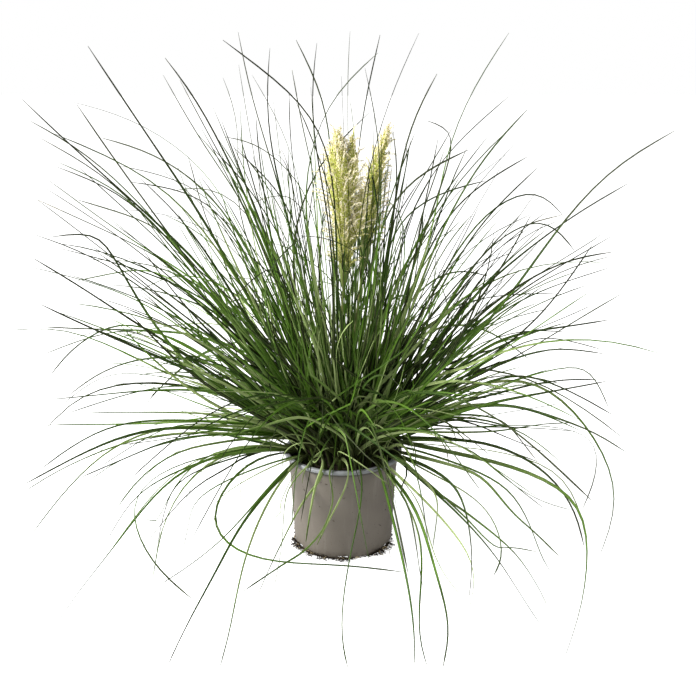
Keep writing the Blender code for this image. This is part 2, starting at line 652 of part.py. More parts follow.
def build_soil(parts):
    """The plug of compost that fills the pot, a little lower at its edge."""
    floor = WALL + GAP
    soil_radius = wall_radius(SOIL_LEVEL) - WALL - GAP
    profile = (
        (0.0, SOIL_LEVEL),
        (CROWN_RADIUS + SHEATH_RADIUS, SOIL_LEVEL),
        (soil_radius, SOIL_LEVEL - SOIL_EDGE_DROP),
        (wall_radius(BASE_CORNER) - WALL - GAP, floor + BASE_CORNER),
        (WALL_BASE_RADIUS - WALL - BASE_CORNER - GAP, floor),
        (0.0, floor),
    )
    soil = turned("soil", profile, parts)
    smooth_sides(soil)
    soil.data.materials.append(finish("soil_compost", (0.045, 0.03, 0.02), 0.95))


def fringe_outline(degrees, rolls):
    """The fringe's section at this place round the pot, as radius and height: thick where a clump has come out."""
    clump = 0.0
    for middle, spread in FRINGE_CLUMPS:
        away = (degrees - middle + 180) % 360 - 180
        clump += math.exp(-((away / spread) ** 2))
    depth, height = (
        least + (most - least) * min(clump, 1.0) * rolls.uniform(*CLUMP_ROLL)
        for least, most in zip(FRINGE_LEAST, FRINGE_MOST)
    )
    inner = FRINGE_GAP + wall_radius(0.0)
    belly = height * rolls.uniform(*FRINGE_BELLY_HEIGHT_ROLL)
    return (
        (inner, GAP),
        (inner + depth * rolls.uniform(*FRINGE_TOE_ROLL), GAP),
        (FRINGE_GAP + wall_radius(belly) + depth * rolls.uniform(*FRINGE_BELLY_ROLL), belly),
        (FRINGE_GAP + wall_radius(height), height),
    )


def build_root_fringe(parts):
    """A ragged ring of matted roots, with a plug of them in each drain opening."""
    rolls = random.Random(7)
    shape = bmesh.new()
    rows = []
    for step in range(FRINGE_STEPS):
        degrees = 360 * step / FRINGE_STEPS
        angle = math.radians(degrees)
        outline = fringe_outline(degrees, rolls)
        rows.append([shape.verts.new((r * math.cos(angle), r * math.sin(angle), z)) for r, z in outline])
    for row, next_row in zip(rows, rows[1:] + rows[:1]):
        for side in range(len(row)):
            beside = (side + 1) % len(row)
            shape.faces.new((row[side], row[beside], next_row[beside], next_row[side]))
    meshes = [closed_mesh(shape)]
    low, high = ROOT_PLUG_LEVELS
    for index in range(DRAIN_OPENINGS):
        angle = drain_angle(index)
        along = np.array((math.cos(angle), math.sin(angle), 0.0))
        across = np.array((-math.sin(angle), math.cos(angle), 0.0)) * ROOT_PLUG_WIDTH / 2
        corners = ((-1, low), (1, low), (1, high), (-1, high))
        rings = [
            [along * reach + across * side + np.array((0.0, 0.0, level)) for side, level in corners]
            for reach in ROOT_PLUG_REACH
        ]
        meshes.append(loft(rings))
    fringe = linked("root_fringe", joined(meshes), parts)
    fringe.data.materials.append(finish("root_fibre", (0.05, 0.032, 0.018), 0.9))


def round_ring(middle, along, radius, sides, turn=0.0):
    """Points round a middle, square to a direction."""
    side = np.cross(along, (0.0, 1.0, 0.0))
    side /= np.linalg.norm(side)
    other = np.cross(along, side)
    angles = [turn + 2 * math.pi * index / sides for index in range(sides)]
    return [middle + radius * (math.cos(angle) * side + math.sin(angle) * other) for angle in angles]


def at_share(share, values):
    """The value so far along an evenly spaced row of values."""
    return np.interp(share, np.linspace(0.0, 1.0, len(values)), values)


def plume_line(places, toward):
    """A plume's middle line, from its base to its tip."""
    curve, along = smooth_curve(np.array([sighted(place, toward) for place in places]))
    return evenly_spaced(curve, along, PLUME_RINGS)


def core(places, toward, radii):
    """The dense middle of a plume: a spindle along its line."""
    line = plume_line(places, toward)
    rings = []
    for index, (middle, step) in enumerate(zip(line, np.gradient(line, axis=0))):
        turn = math.pi / PLUME_SIDES * (index % 2)
        radius = at_share(index / (PLUME_RINGS - 1), radii)
        rings.append(round_ring(middle, step / np.linalg.norm(step), radius, PLUME_SIDES, turn))
    return loft(rings)


def locks(places, toward, radii, count, seed):
    """Silky locks that stand up and out from a plume's core, in a spiral from its base to its tip."""
    rolls = random.Random(seed)
    line = plume_line(places, toward)
    lowest, highest = LOCK_SHARES
    made = []
    for index in range(count):
        share = lowest + (highest - lowest) * (index + 0.5) / count
        middle = np.array([at_share(share, line[:, axis]) for axis in range(3)])
        along = line[min(int(share * (PLUME_RINGS - 1)) + 1, PLUME_RINGS - 1)] - middle
        along /= np.linalg.norm(along)
        angle = index * GOLDEN_ANGLE
        outward = round_ring(np.zeros(3), along, 1.0, 1, angle)[0]
        lean = rolls.uniform(*LOCK_LEAN) * (1.0 - LOCK_LEAN_LOSS * share)
        half_length = rolls.uniform(*LOCK_LENGTH) / 2
        root = middle + outward * max(at_share(share, radii) - LOCK_RADIUS, 0.0)
        rise = along + lean * outward
        rise /= np.linalg.norm(rise)
        bend = root + rise * half_length
        tip = bend + (rise + LOCK_CURL * lean * outward) * half_length
        rings = [
            round_ring(root, rise, LOCK_RADIUS, LOCK_SIDES, angle),
            round_ring(bend, rise, LOCK_RADIUS * LOCK_WAIST, LOCK_SIDES, angle),
        ]
        made.append(loft(rings, tip))
    return made


def build_plume(name, meshes, colour, parts):
    """A plume: its cores and all its locks, grown together."""
    plume = linked(name, joined(meshes), parts)
    plume.data.materials.append(finish(name + "_silk", colour, 0.8))


def stem_points(foot, places, toward):
    """A plume's stem, from the crown to just under the plume."""
    start = np.array((*foot, FOOT_LEVEL))
    line = plume_line(places, toward)
    end = line[0] - STEM_TOP_GAP * (line[1] - line[0]) / np.linalg.norm(line[1] - line[0])
    upright = start + np.array((0.0, 0.0, 1.0)) * (end - start)[2] * STEM_UPRIGHT_SHARE
    curve, along = smooth_curve(np.array((start, upright, end)))
    return evenly_spaced(curve, along, STEM_STATIONS)


def build_stem(name, points, parts):
    """A round solid stem, cut off square at the crown and under the plume."""
    line = bpy.data.curves.new(name, "CURVE")
    line.dimensions = "3D"
    line.bevel_depth = STEM_RADIUS
    line.bevel_resolution = STEM_BEVEL_RESOLUTION
    line.use_fill_caps = True
    spline = line.splines.new("POLY")
    spline.points.add(len(points) - 1)
    for knot, point in zip(spline.points, points):
        knot.co = (*point, 1.0)
    stem = linked(name, line, parts)
    stem.data.materials.append(finish(name + "_green", (0.20, 0.26, 0.07), 0.5))


def claim_plume_room(room, owner, places, toward, radii):
    """Keeps leaves out of a plume and the reach of its locks."""
    line = plume_line(places, toward)
    reach = at_share(np.linspace(0.0, 1.0, PLUME_RINGS), radii)
    room.add(line, reach + LOCK_STAND_OFF, owner)


def side_directions(path):
    """The blade's side-to-side direction at each station: level where it can be, and never turning over."""
    steps = np.gradient(path, axis=0)
    steps /= np.linalg.norm(steps, axis=1)[:, None]
    chord = path[-1] - path[0]
    side = np.array((-chord[1], chord[0], 0.0))
    side /= np.linalg.norm(side)
    sides = []
    for step in steps:
        level = np.cross((0.0, 0.0, 1.0), step)
        if level @ side < 0:
            level = -level
        side = side + LEVELLING * level
        side = side - (side @ step) * step
        side = side / np.linalg.norm(side)
        sides.append(side)
    return np.array(sides), np.cross(steps, np.array(sides))


def blade(path, widths):
    """A leaf blade with a keel along its underside, tapering to a point."""
    sides, faces = side_directions(path)
    rings = []
    for point, side, face, width in zip(path[:-1], sides, faces, widths):
        keel = max(KEEL_DEPTH * width, KEEL_LEAST)
        ring = np.array((point + side * width / 2, point - side * width / 2, point - face * keel))
        ring[:, 2] = np.maximum(ring[:, 2], GAP)
        rings.append(ring)
    return loft(rings, path[-1])


def build_tiller(shoot, placed, parts):
    """A shoot: its sheath with the leaves that grow out of it."""
    turns = [SHEATH_TURN + 2 * math.pi * side / SHEATH_SIDES for side in range(SHEATH_SIDES)]
    rings = [
        [middle + radius * np.array((math.cos(turn), math.sin(turn), 0.0)) for turn in turns]
        for middle, radius in ((shoot.foot, SHEATH_RADIUS), (shoot.top, SHEATH_TOP_RADIUS))
    ]
    blades = [blade(*placed[shoot.number, index]) for index in range(len(shoot.leaves))]
    name = f"tiller_{shoot.number:02d}"
    tiller = linked(name, joined([loft(rings), *blades]), parts)
    green = TILLER_GREENS[shoot.number % len(TILLER_GREENS)]
    tiller.data.materials.append(finish(name + "_green", green, 0.5))


def build():
    """Clears the scene and builds every piece."""
    for old in list(bpy.data.objects):
        bpy.data.objects.remove(old)
    parts = bpy.data.collections.new("potted_pampas_grass")
    cutters = bpy.data.collections.new("cutters")
    bpy.context.scene.collection.children.link(parts)
    bpy.context.scene.collection.children.link(cutters)

    build_pot(parts, cutters)
    build_soil(parts)
    build_root_fringe(parts)

    left = (LEFT_PLUME, LEFT_PLUME_TOWARD, LEFT_PLUME_RADII)
    lobe = (LEFT_LOBE, LEFT_PLUME_TOWARD, LEFT_LOBE_RADII)
    right = (RIGHT_PLUME, RIGHT_PLUME_TOWARD, RIGHT_PLUME_RADII)
    left_meshes = [core(*left), core(*lobe), *locks(*left, LEFT_LOCKS, seed=3), *locks(*lobe, LOBE_LOCKS, seed=4)]
    right_meshes = [core(*right), *locks(*right, RIGHT_LOCKS, seed=5)]
    build_plume("left_plume", left_meshes, (0.72, 0.66, 0.42), parts)
    build_plume("right_plume", right_meshes, (0.62, 0.62, 0.30), parts)
    left_stem = stem_points(LEFT_STEM_FOOT, LEFT_PLUME, LEFT_PLUME_TOWARD)
    right_stem = stem_points(RIGHT_STEM_FOOT, RIGHT_PLUME, RIGHT_PLUME_TOWARD)
    build_stem("left_plume_stem", left_stem, parts)
    build_stem("right_plume_stem", right_stem, parts)

    room = Room()
    room.add(left_stem, np.full(STEM_STATIONS, STEM_RADIUS), owner=-1)
    room.add(right_stem, np.full(STEM_STATIONS, STEM_RADIUS), owner=-2)
    claim_plume_room(room, -1, *left)
    claim_plume_room(room, -1, *lobe)
    claim_plume_room(room, -2, *right)
    shoots = planned_shoots(all_leaves())
    placed = settled_leaves(shoots, room)
    for shoot in shoots:
        build_tiller(shoot, placed, parts)


build()
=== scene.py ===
import json
import math
import random
from functools import partial

import bmesh
import bpy
import numpy as np
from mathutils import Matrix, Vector, noise

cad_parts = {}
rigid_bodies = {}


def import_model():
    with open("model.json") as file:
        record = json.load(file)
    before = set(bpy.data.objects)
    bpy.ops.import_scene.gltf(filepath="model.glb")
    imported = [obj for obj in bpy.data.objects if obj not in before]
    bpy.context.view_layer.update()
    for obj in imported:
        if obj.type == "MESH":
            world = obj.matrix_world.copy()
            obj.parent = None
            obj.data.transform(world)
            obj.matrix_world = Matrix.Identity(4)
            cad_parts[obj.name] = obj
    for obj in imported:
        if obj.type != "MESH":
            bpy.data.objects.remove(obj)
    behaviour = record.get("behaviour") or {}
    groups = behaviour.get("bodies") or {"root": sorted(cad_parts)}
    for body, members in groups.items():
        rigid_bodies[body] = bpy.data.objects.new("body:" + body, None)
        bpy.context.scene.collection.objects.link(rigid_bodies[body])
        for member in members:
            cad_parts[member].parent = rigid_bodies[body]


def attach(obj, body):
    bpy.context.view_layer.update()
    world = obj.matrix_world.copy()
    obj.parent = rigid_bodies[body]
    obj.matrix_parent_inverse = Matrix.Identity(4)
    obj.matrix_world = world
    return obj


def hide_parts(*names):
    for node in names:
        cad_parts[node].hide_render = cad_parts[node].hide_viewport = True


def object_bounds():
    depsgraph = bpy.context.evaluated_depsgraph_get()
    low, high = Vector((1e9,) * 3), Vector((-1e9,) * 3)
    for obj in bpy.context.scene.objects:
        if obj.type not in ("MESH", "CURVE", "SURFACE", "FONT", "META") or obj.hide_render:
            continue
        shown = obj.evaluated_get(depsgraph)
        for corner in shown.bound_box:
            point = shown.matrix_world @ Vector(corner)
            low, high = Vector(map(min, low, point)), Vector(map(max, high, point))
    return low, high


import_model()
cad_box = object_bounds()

# The pot: a thin round grower's pot, injection-moulded in taupe-grey polypropylene. Its wall tapers to the
# foot, its lip is turned out with a short skirt, and openings are moulded where the wall meets the floor.
POT_HEIGHT = 0.157
LIP_RADIUS = 0.095
LIP_HEIGHT = 0.0055
WALL_TOP_RADIUS = 0.0885
WALL_BASE_RADIUS = 0.080
WALL = 0.0015
SKIN = 0.0011
BASE_CORNER = 0.003
POT_STEPS = 160
CORNER_POINTS = 5
LIP_BENDS = (0.0018, 0.0014, 0.0009, 0.0011)
NECK_FLARE = 0.0004
WALL_END = 0.002
STACKING_LEDGE = (0.1290, 0.0005)
LEDGE_BEVEL = 0.0015
WALL_HEIGHTS = (0.10, 0.07, 0.04, 0.015)
BASE_GROOVES = (0.030, 0.052)
GROOVE = 0.0006
DRAIN_OPENINGS = 6
DRAIN_WIDTH = 0.015
DRAIN_DEPTH = 0.012
DRAIN_HEIGHT = 0.006
DRAIN_MARGIN = 0.002
DRAIN_ROUNDING = 0.0015
SHARP_ANGLE = math.radians(40)
TAUPE = (0.160, 0.140, 0.116)
TAUPE_WORN = (0.250, 0.225, 0.198)
TAUPE_SHADED = (0.134, 0.117, 0.096)
# Painted highlight: the whole lip is painted a lighter blue-grey than the wall.
LIP_HIGHLIGHT = (0.235, 0.245, 0.262)
LIP_HIGHLIGHT_HEIGHTS = (POT_HEIGHT - LIP_HEIGHT, POT_HEIGHT - LIP_HEIGHT + 0.0005)
LIP_HIGHLIGHT_REACH = (0.0885, 0.0895)
# Painted shadow: a dark band round the wall just under the lip's skirt.
UNDER_LIP_SHADOW_HEIGHTS = (0.1440, 0.1475)
UNDER_LIP_SHADOW_REACH = (0.0905, 0.0890)
UNDER_LIP_SHADOW = (0.050, 0.047, 0.044)
POT_DIRT = (0.055, 0.040, 0.026)


class Wire:
    """An output socket of a node tree. Arithmetic on wires adds the nodes that work it out."""

    def __init__(self, tree, socket):
        self.tree = tree
        self.socket = socket

    @classmethod
    def node(cls, tree, kind, settings=None, values=None, output=0):
        """Any node: its type, its settings, what its inputs get, by name or number, and which output."""
        made = tree.nodes.new(kind)
        for name, value in (settings or {}).items():
            setattr(made, name, value)
        for key, value in (values or {}).items():
            cls.plug(tree, made.inputs[key], value)
        return cls(tree, made.outputs[output])

    @staticmethod
    def plug(tree, socket, value):
        """Links a wire, or several wires, to an input, or sets a plain value on it."""
        if isinstance(value, list):
            for one in value:
                tree.links.new(one.socket, socket)
        elif isinstance(value, Wire):
            tree.links.new(value.socket, socket)
        elif socket.type == "RGBA" and len(value) == 3:
            socket.default_value = (*value, 1.0)
        else:
            socket.default_value = value

    def also(self, output):
        """Another output of the same node."""
        return Wire(self.tree, self.socket.node.outputs[output])

    def is_vector(self):
        """Whether the wire carries a vector or a colour."""
        return self.socket.type in ("VECTOR", "RGBA")

    def math(self, operation, *others, swapped=False):
        """A sum, product or other function of this wire and others, number by number or vector by vector."""
        row = [self, *others]
        if swapped:
            row.reverse()
        if any(isinstance(one, tuple) or isinstance(one, Wire) and one.is_vector() for one in row):
            kind = "ShaderNodeVectorMath"
            row = [one if isinstance(one, (Wire, tuple)) else (one, one, one) for one in row]
        else:
            kind = "ShaderNodeMath"
        return Wire.node(self.tree, kind, {"operation": operation}, dict(enumerate(row)))

    def __add__(self, other):
        return self.math("ADD", other)

    def __sub__(self, other):
        return self.math("SUBTRACT", other)

    def __rsub__(self, other):
        return self.math("SUBTRACT", other, swapped=True)

    def __mul__(self, other):
        return self.math("MULTIPLY", other)

    __radd__ = __add__
    __rmul__ = __mul__

    def between(self, low, high, smooth=True):
        """0 where this is at low, 1 where it is at high."""
        settings = {"interpolation_type": "SMOOTHSTEP" if smooth else "LINEAR"}
        return Wire.node(self.tree, "ShaderNodeMapRange", settings, {"Value": self, 1: low, 2: high})

    def mixed(self, colour, other):
        """The colour where this is 0, the other where it is 1."""
        values = {0: self, 6: colour, 7: other}
        return Wire.node(self.tree, "ShaderNodeMix", {"data_type": "RGBA"}, values, output=2)

    def noise(self, scale, detail=3.0, roughness=0.5):
        """Noise at this place, about 0 to 1."""
        values = {"Vector": self, "Scale": scale, "Detail": detail, "Roughness": roughness}
        return Wire.node(self.tree, "ShaderNodeTexNoise", None, values)

    def split(self):
        """The three parts of a vector."""
        first = Wire.node(self.tree, "ShaderNodeSeparateXYZ", None, {0: self})
        return first, first.also(1), first.also(2)


def new_finish(name, **constants):
    """A material with its Principled shader: returns the material, its node tree and the shader."""
    made = bpy.data.materials.new(name)
    made.use_nodes = True
    shader = made.node_tree.nodes["Principled BSDF"]
    for socket, value in constants.items():
        shader.inputs[socket.replace("_", " ")].default_value = value
    return made, made.node_tree, shader


def bump(tree, height, strength, distance):
    """A surface normal from a height in metres."""
    values = {"Strength": strength, "Distance": distance, "Height": height}
    return Wire.node(tree, "ShaderNodeBump", None, values)


def linked(name, data):
    """A new object in the scene."""
    made = bpy.data.objects.new(name, data)
    bpy.context.scene.collection.objects.link(made)
    return made


def as_mesh(name, shape):
    """A plain mesh from a shape that was built up, which ends."""
    mesh = bpy.data.meshes.new(name)
    shape.to_mesh(mesh)
    shape.free()
    return mesh


def plain_mesh(body):
    """The body's mesh with its modifiers applied."""
    bpy.context.view_layer.update()
    graph = bpy.context.evaluated_depsgraph_get()
    return bpy.data.meshes.new_from_object(body.evaluated_get(graph))


def fit_piece(piece, slot, *nodes):
    """Rides on the plant's one body, in place of these nodes of the frame."""
    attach(piece, "root")
    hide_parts(*nodes)


def wall_radius(height):
    """The pot wall's outer radius at this height."""
    share = height / (POT_HEIGHT - LIP_HEIGHT)
    return WALL_BASE_RADIUS + (WALL_TOP_RADIUS - WALL_BASE_RADIUS) * share


def corner(middle, radius, start, end):
    """Points on a rounded corner, from one direction to another in degrees."""
    turns = np.radians(np.linspace(start, end, CORNER_POINTS))
    return [(middle[0] + radius * math.cos(turn), middle[1] + radius * math.sin(turn)) for turn in turns]


def drain_angle(index):
    """Where a drain opening stands round the pot."""
    return 2 * math.pi * (index + 0.5) / DRAIN_OPENINGS


ledge, ledge_step = STACKING_LEDGE
lip_top = POT_HEIGHT
flange_under = lip_top - SKIN
neck = WALL_TOP_RADIUS
half_skin = SKIN / 2
base_outer = wall_radius(BASE_CORNER)
outline = [(0.0, WALL), (WALL_BASE_RADIUS - WALL - BASE_CORNER, WALL)]
outline += corner((base_outer - WALL - BASE_CORNER, WALL + BASE_CORNER), BASE_CORNER, -80, 0)
outline += [(wall_radius(ledge) - WALL, ledge), (neck - WALL, flange_under - WALL_END)]
inner_bend, edge_bend, skirt_bend, neck_bend = LIP_BENDS
outline += corner((neck + NECK_FLARE, lip_top - inner_bend), inner_bend, 175, 100)
outline += corner((LIP_RADIUS - edge_bend, lip_top - edge_bend), edge_bend, 85, 5)
outline += corner((LIP_RADIUS - half_skin, lip_top - LIP_HEIGHT + half_skin), half_skin, -5, -175)
outline += corner((LIP_RADIUS - SKIN - skirt_bend, flange_under - skirt_bend), skirt_bend, 5, 85)
outline += corner((neck + neck_bend, flange_under - neck_bend), neck_bend, 95, 175)
over_ledge = ledge + LEDGE_BEVEL
outline += [(wall_radius(over_ledge), over_ledge), (wall_radius(ledge) - ledge_step, ledge)]
outline += [(wall_radius(height) - ledge_step * height / ledge, height) for height in WALL_HEIGHTS]
outline += corner((base_outer - BASE_CORNER, BASE_CORNER), BASE_CORNER, -5, -85)
for groove in reversed(BASE_GROOVES):
    outline += [(groove + GROOVE, 0.0), (groove, GROOVE), (groove - GROOVE, 0.0)]
outline += [(0.0, 0.0)]

profile = bpy.data.meshes.new("pot_outline")
corners = [(radius, 0.0, height) for radius, height in outline]
profile.from_pydata(corners, [(index, index + 1) for index in range(len(corners) - 1)], [])
turning = linked("pot_turning", profile)
screw = turning.modifiers.new("turned", "SCREW")
screw.angle = 2 * math.pi
screw.steps = screw.render_steps = POT_STEPS
screw.use_merge_vertices = True
screw.merge_threshold = 0.00001
cutters = bpy.data.collections.new("drain_cutters")
bpy.context.scene.collection.children.link(cutters)
for index in range(DRAIN_OPENINGS):
    block = bmesh.new()
    bmesh.ops.create_cube(block, size=1.0)
    bmesh.ops.scale(block, verts=block.verts, vec=(DRAIN_DEPTH, DRAIN_WIDTH, 2 * DRAIN_HEIGHT))
    lying = [edge for edge in block.edges if abs(edge.verts[0].co.x - edge.verts[1].co.x) > DRAIN_DEPTH / 2]
    bmesh.ops.bevel(block, geom=lying, offset=DRAIN_ROUNDING, segments=4, affect="EDGES", profile=0.5)
    cutter = bpy.data.objects.new("drain_cutter", as_mesh("drain_cutter", block))
    cutters.objects.link(cutter)
    reach = WALL_BASE_RADIUS - DRAIN_DEPTH / 2 + DRAIN_MARGIN
    cutter.location = (reach * math.cos(drain_angle(index)), reach * math.sin(drain_angle(index)), 0.0)
    cutter.rotation_euler = (0.0, 0.0, drain_angle(index))
drains = turning.modifiers.new("drains", "BOOLEAN")
drains.operation = "DIFFERENCE"
drains.solver = "EXACT"
drains.operand_type = "COLLECTION"
drains.collection = cutters
pot_mesh = plain_mesh(turning)
pot_mesh.shade_smooth()
pot_mesh.set_sharp_from_angle(angle=SHARP_ANGLE)
bpy.data.objects.remove(turning)
for cutter in list(cutters.objects):
    bpy.data.objects.remove(cutter)
bpy.data.collections.remove(cutters)
pot = linked("plastic_pot", pot_mesh)

pot_plastic, tree, shader = new_finish("moulded_taupe_plastic", IOR=1.48, Specular_IOR_Level=0.42)
place = Wire.node(tree, "ShaderNodeTexCoord", output="Object")
x, y, z = place.split()
blotches = place.noise(16.0, detail=4.0)
streaks = (place * (1.0, 1.0, 0.09)).noise(95.0, detail=4.0, roughness=0.65)
grain = place.noise(2600.0, detail=2.0)
specks = place.noise(520.0, detail=3.0).between(0.63, 0.70)
reach = (x * x + y * y).math("SQRT")
# Painted highlight on the lip, outside the wall and above the foot of its skirt.
lip = z.between(*LIP_HIGHLIGHT_HEIGHTS) * reach.between(*LIP_HIGHLIGHT_REACH)
# Painted shadow in a thin band round the wall under the lip.
under_lip = z.between(*UNDER_LIP_SHADOW_HEIGHTS) * reach.between(*UNDER_LIP_SHADOW_REACH)
colour = blotches.between(0.25, 0.75).mixed(TAUPE_SHADED, TAUPE)
colour = (streaks.between(0.52, 0.75) * 0.35).mixed(colour, TAUPE_WORN)
colour = (lip * 0.9).mixed(colour, LIP_HIGHLIGHT)
colour = (under_lip * 0.75).mixed(colour, UNDER_LIP_SHADOW)
foot_dirt = z.between(0.016, 0.001) * place.noise(150.0, detail=5.0, roughness=0.7).between(0.48, 0.68)
splashes = z.between(0.085, 0.010) * specks
colour = (foot_dirt * 0.8).math("MAXIMUM", splashes * 0.55).mixed(colour, POT_DIRT)
Wire.plug(tree, shader.inputs["Base Color"], colour)
roughness = 0.40 + 0.16 * blotches + 0.10 * streaks + 0.25 * foot_dirt
Wire.plug(tree, shader.inputs["Roughness"], roughness)
relief = grain * 0.6 + streaks * 0.4
Wire.plug(tree, shader.inputs["Normal"], bump(tree, relief, 0.25, 0.00015))
pot.data.materials.append(pot_plastic)
fit_piece(pot, "pot_plastic", "pot")


# The compost: a plug of dark, damp peat that fills the pot to two centimetres below its lip.
# Its top is crumbly, with scattered lumps and bits of bark, and it lies a little lower by the wall.
GAP = 0.0003
SOIL_LEVEL = 0.137
SOIL_EDGE_DROP = 0.003
SOIL_RINGS = 30
SOIL_STEPS = 96
SOIL_ROUGH = 0.0016
CROWN_RADIUS = 0.062
CRUMBS_PER_AREA = 52000.0
CRUMB_SIZES = (0.0005, 0.0017)
BARK_PER_AREA = 5200.0
BARK_SIZES = (0.5, 1.5)
PEAT = (0.020, 0.013, 0.008)
PEAT_LIGHT = (0.060, 0.040, 0.025)
BARK = (0.17, 0.115, 0.065)


def new_tree(name, *sizes):
    """A geometry tree with an input for each size: returns the tree, what comes in, and the sizes' wires."""
    tree = bpy.data.node_groups.new(name, "GeometryNodeTree")
    tree.interface.new_socket("Guide", in_out="INPUT", socket_type="NodeSocketGeometry")
    tree.interface.new_socket("Result", in_out="OUTPUT", socket_type="NodeSocketGeometry")
    for size in sizes:
        tree.interface.new_socket(size, in_out="INPUT", socket_type="NodeSocketFloat")
    entry = tree.nodes.new("NodeGroupInput")
    return tree, *[Wire(tree, entry.outputs[index]) for index in range(len(sizes) + 1)]


def end_tree(tree, shape, finish):
    """Ends a geometry tree: everything real and with its finish."""
    real = Wire.node(tree, "GeometryNodeRealizeInstances", None, {0: shape})
    done = Wire.node(tree, "GeometryNodeSetMaterial", None, {"Geometry": real, "Material": finish})
    leaving = tree.nodes.new("NodeGroupOutput")
    Wire.plug(tree, leaving.inputs[0], done)


def grown(name, guide, tree, **sizes):
    """A plain mesh object made by a geometry tree from its guide, with these sizes."""
    body = linked(name, guide)
    growing = body.modifiers.new("growing", "NODES")
    growing.node_group = tree
    for item in tree.interface.items_tree:
        if item.in_out == "INPUT" and item.name in sizes:
            growing[item.identifier] = sizes[item.name]
    mesh = plain_mesh(body)
    body.modifiers.clear()
    body.data = mesh
    mesh.name = name
    finishes = [finish for finish in mesh.materials if finish]
    mesh.materials.clear()
    mesh.materials.append(finishes[0])
    mesh.polygons.foreach_set("material_index", np.zeros(len(mesh.polygons), np.int32))
    return body


def random_between(tree, low, high, seed, kind="FLOAT"):
    """A random number, or vector, for each point or instance."""
    first = 0 if kind == "FLOAT_VECTOR" else 2
    values = {first: low, first + 1: high, 8: seed}
    output = 0 if kind == "FLOAT_VECTOR" else 1
    return Wire.node(tree, "FunctionNodeRandomValue", {"data_type": kind}, values, output)


soil_radius = wall_radius(SOIL_LEVEL) - WALL - GAP
plug = bmesh.new()
hub = plug.verts.new((0.0, 0.0, SOIL_LEVEL))
rows = []
for ring in range(1, SOIL_RINGS + 1):
    reach = soil_radius * ring / SOIL_RINGS
    fall = SOIL_EDGE_DROP * max(0.0, (reach - CROWN_RADIUS) / (soil_radius - CROWN_RADIUS))
    row = []
    for step in range(SOIL_STEPS):
        turn = 2 * math.pi * step / SOIL_STEPS
        spot = Vector((reach * math.cos(turn), reach * math.sin(turn), SOIL_LEVEL - fall))
        lump = noise.fractal(spot * 120, 0.8, 2.1, 4) - 0.35
        spot.z += SOIL_ROUGH * lump * min(1.0, (SOIL_RINGS - ring) / 2)
        row.append(plug.verts.new(spot))
    rows.append(row)
for reach, height in ((wall_radius(BASE_CORNER) - WALL - GAP, 0.0045), (0.074, WALL + GAP)):
    turns = [2 * math.pi * step / SOIL_STEPS for step in range(SOIL_STEPS)]
    rows.append([plug.verts.new((reach * math.cos(turn), reach * math.sin(turn), height)) for turn in turns])
for row, next_row in zip(rows, rows[1:]):
    for step in range(SOIL_STEPS):
        after = (step + 1) % SOIL_STEPS
        plug.faces.new((row[step], next_row[step], next_row[after], row[after]))
for step in range(SOIL_STEPS):
    plug.faces.new((hub, rows[0][step], rows[0][(step + 1) % SOIL_STEPS]))
plug.faces.new(rows[-1][::-1])
bmesh.ops.recalc_face_normals(plug, faces=plug.faces)
plug_mesh = as_mesh("compost_plug", plug)
plug_mesh.shade_smooth()

compost, tree, shader = new_finish("damp_peat", Specular_IOR_Level=0.3)
place = Wire.node(tree, "ShaderNodeTexCoord", output="Object")
clods = place.noise(240.0, detail=5.0, roughness=0.7)
specks = place.noise(1400.0, detail=2.0)
colour = clods.between(0.35, 0.75).mixed(PEAT, PEAT_LIGHT)
colour = (specks.between(0.64, 0.70) * 0.6).mixed(colour, BARK)
Wire.plug(tree, shader.inputs["Base Color"], colour)
Wire.plug(tree, shader.inputs["Roughness"], 0.75 + 0.2 * clods)
Wire.plug(tree, shader.inputs["Normal"], bump(tree, clods + 0.5 * specks, 0.8, 0.0012))

tree, guide, crumbs_per_area, bark_per_area = new_tree("scattered_crumbs", "crumbs", "bark")
height = Wire.node(tree, "GeometryNodeInputPosition").split()[2]
on_top = height.math("GREATER_THAN", SOIL_LEVEL - 0.006)
crumb = Wire.node(tree, "GeometryNodeMeshIcoSphere", None, {"Radius": 1.0, "Subdivisions": 1})
values = {"Vertices": 4, "Radius Top": 0.0002, "Radius Bottom": 0.0004, "Depth": 0.006}
chip = Wire.node(tree, "GeometryNodeMeshCone", None, values)
kinds = []
for shape, density, sizes, seed, flat in (
    (crumb, crumbs_per_area, CRUMB_SIZES, 11, 0.75),
    (chip, bark_per_area, BARK_SIZES, 12, 1.0),
):
    values = {"Mesh": guide, "Selection": on_top, "Density": density, "Seed": seed}
    spots = Wire.node(tree, "GeometryNodeDistributePointsOnFaces", None, values)
    turns = random_between(tree, (-1.7, -1.7, 0.0), (1.7, 1.7, 6.3), seed, "FLOAT_VECTOR")
    scale = random_between(tree, *sizes, seed + 5) * (1.0, 1.0, flat)
    values = {"Points": spots, "Instance": shape, "Rotation": turns, "Scale": scale}
    kinds.append(Wire.node(tree, "GeometryNodeInstanceOnPoints", None, values))
end_tree(tree, Wire.node(tree, "GeometryNodeJoinGeometry", None, {0: [guide, *kinds]}), compost)
soil = grown("crumbly_compost", plug_mesh, tree, crumbs=CRUMBS_PER_AREA, bark=BARK_PER_AREA)
fit_piece(soil, "compost", "soil")


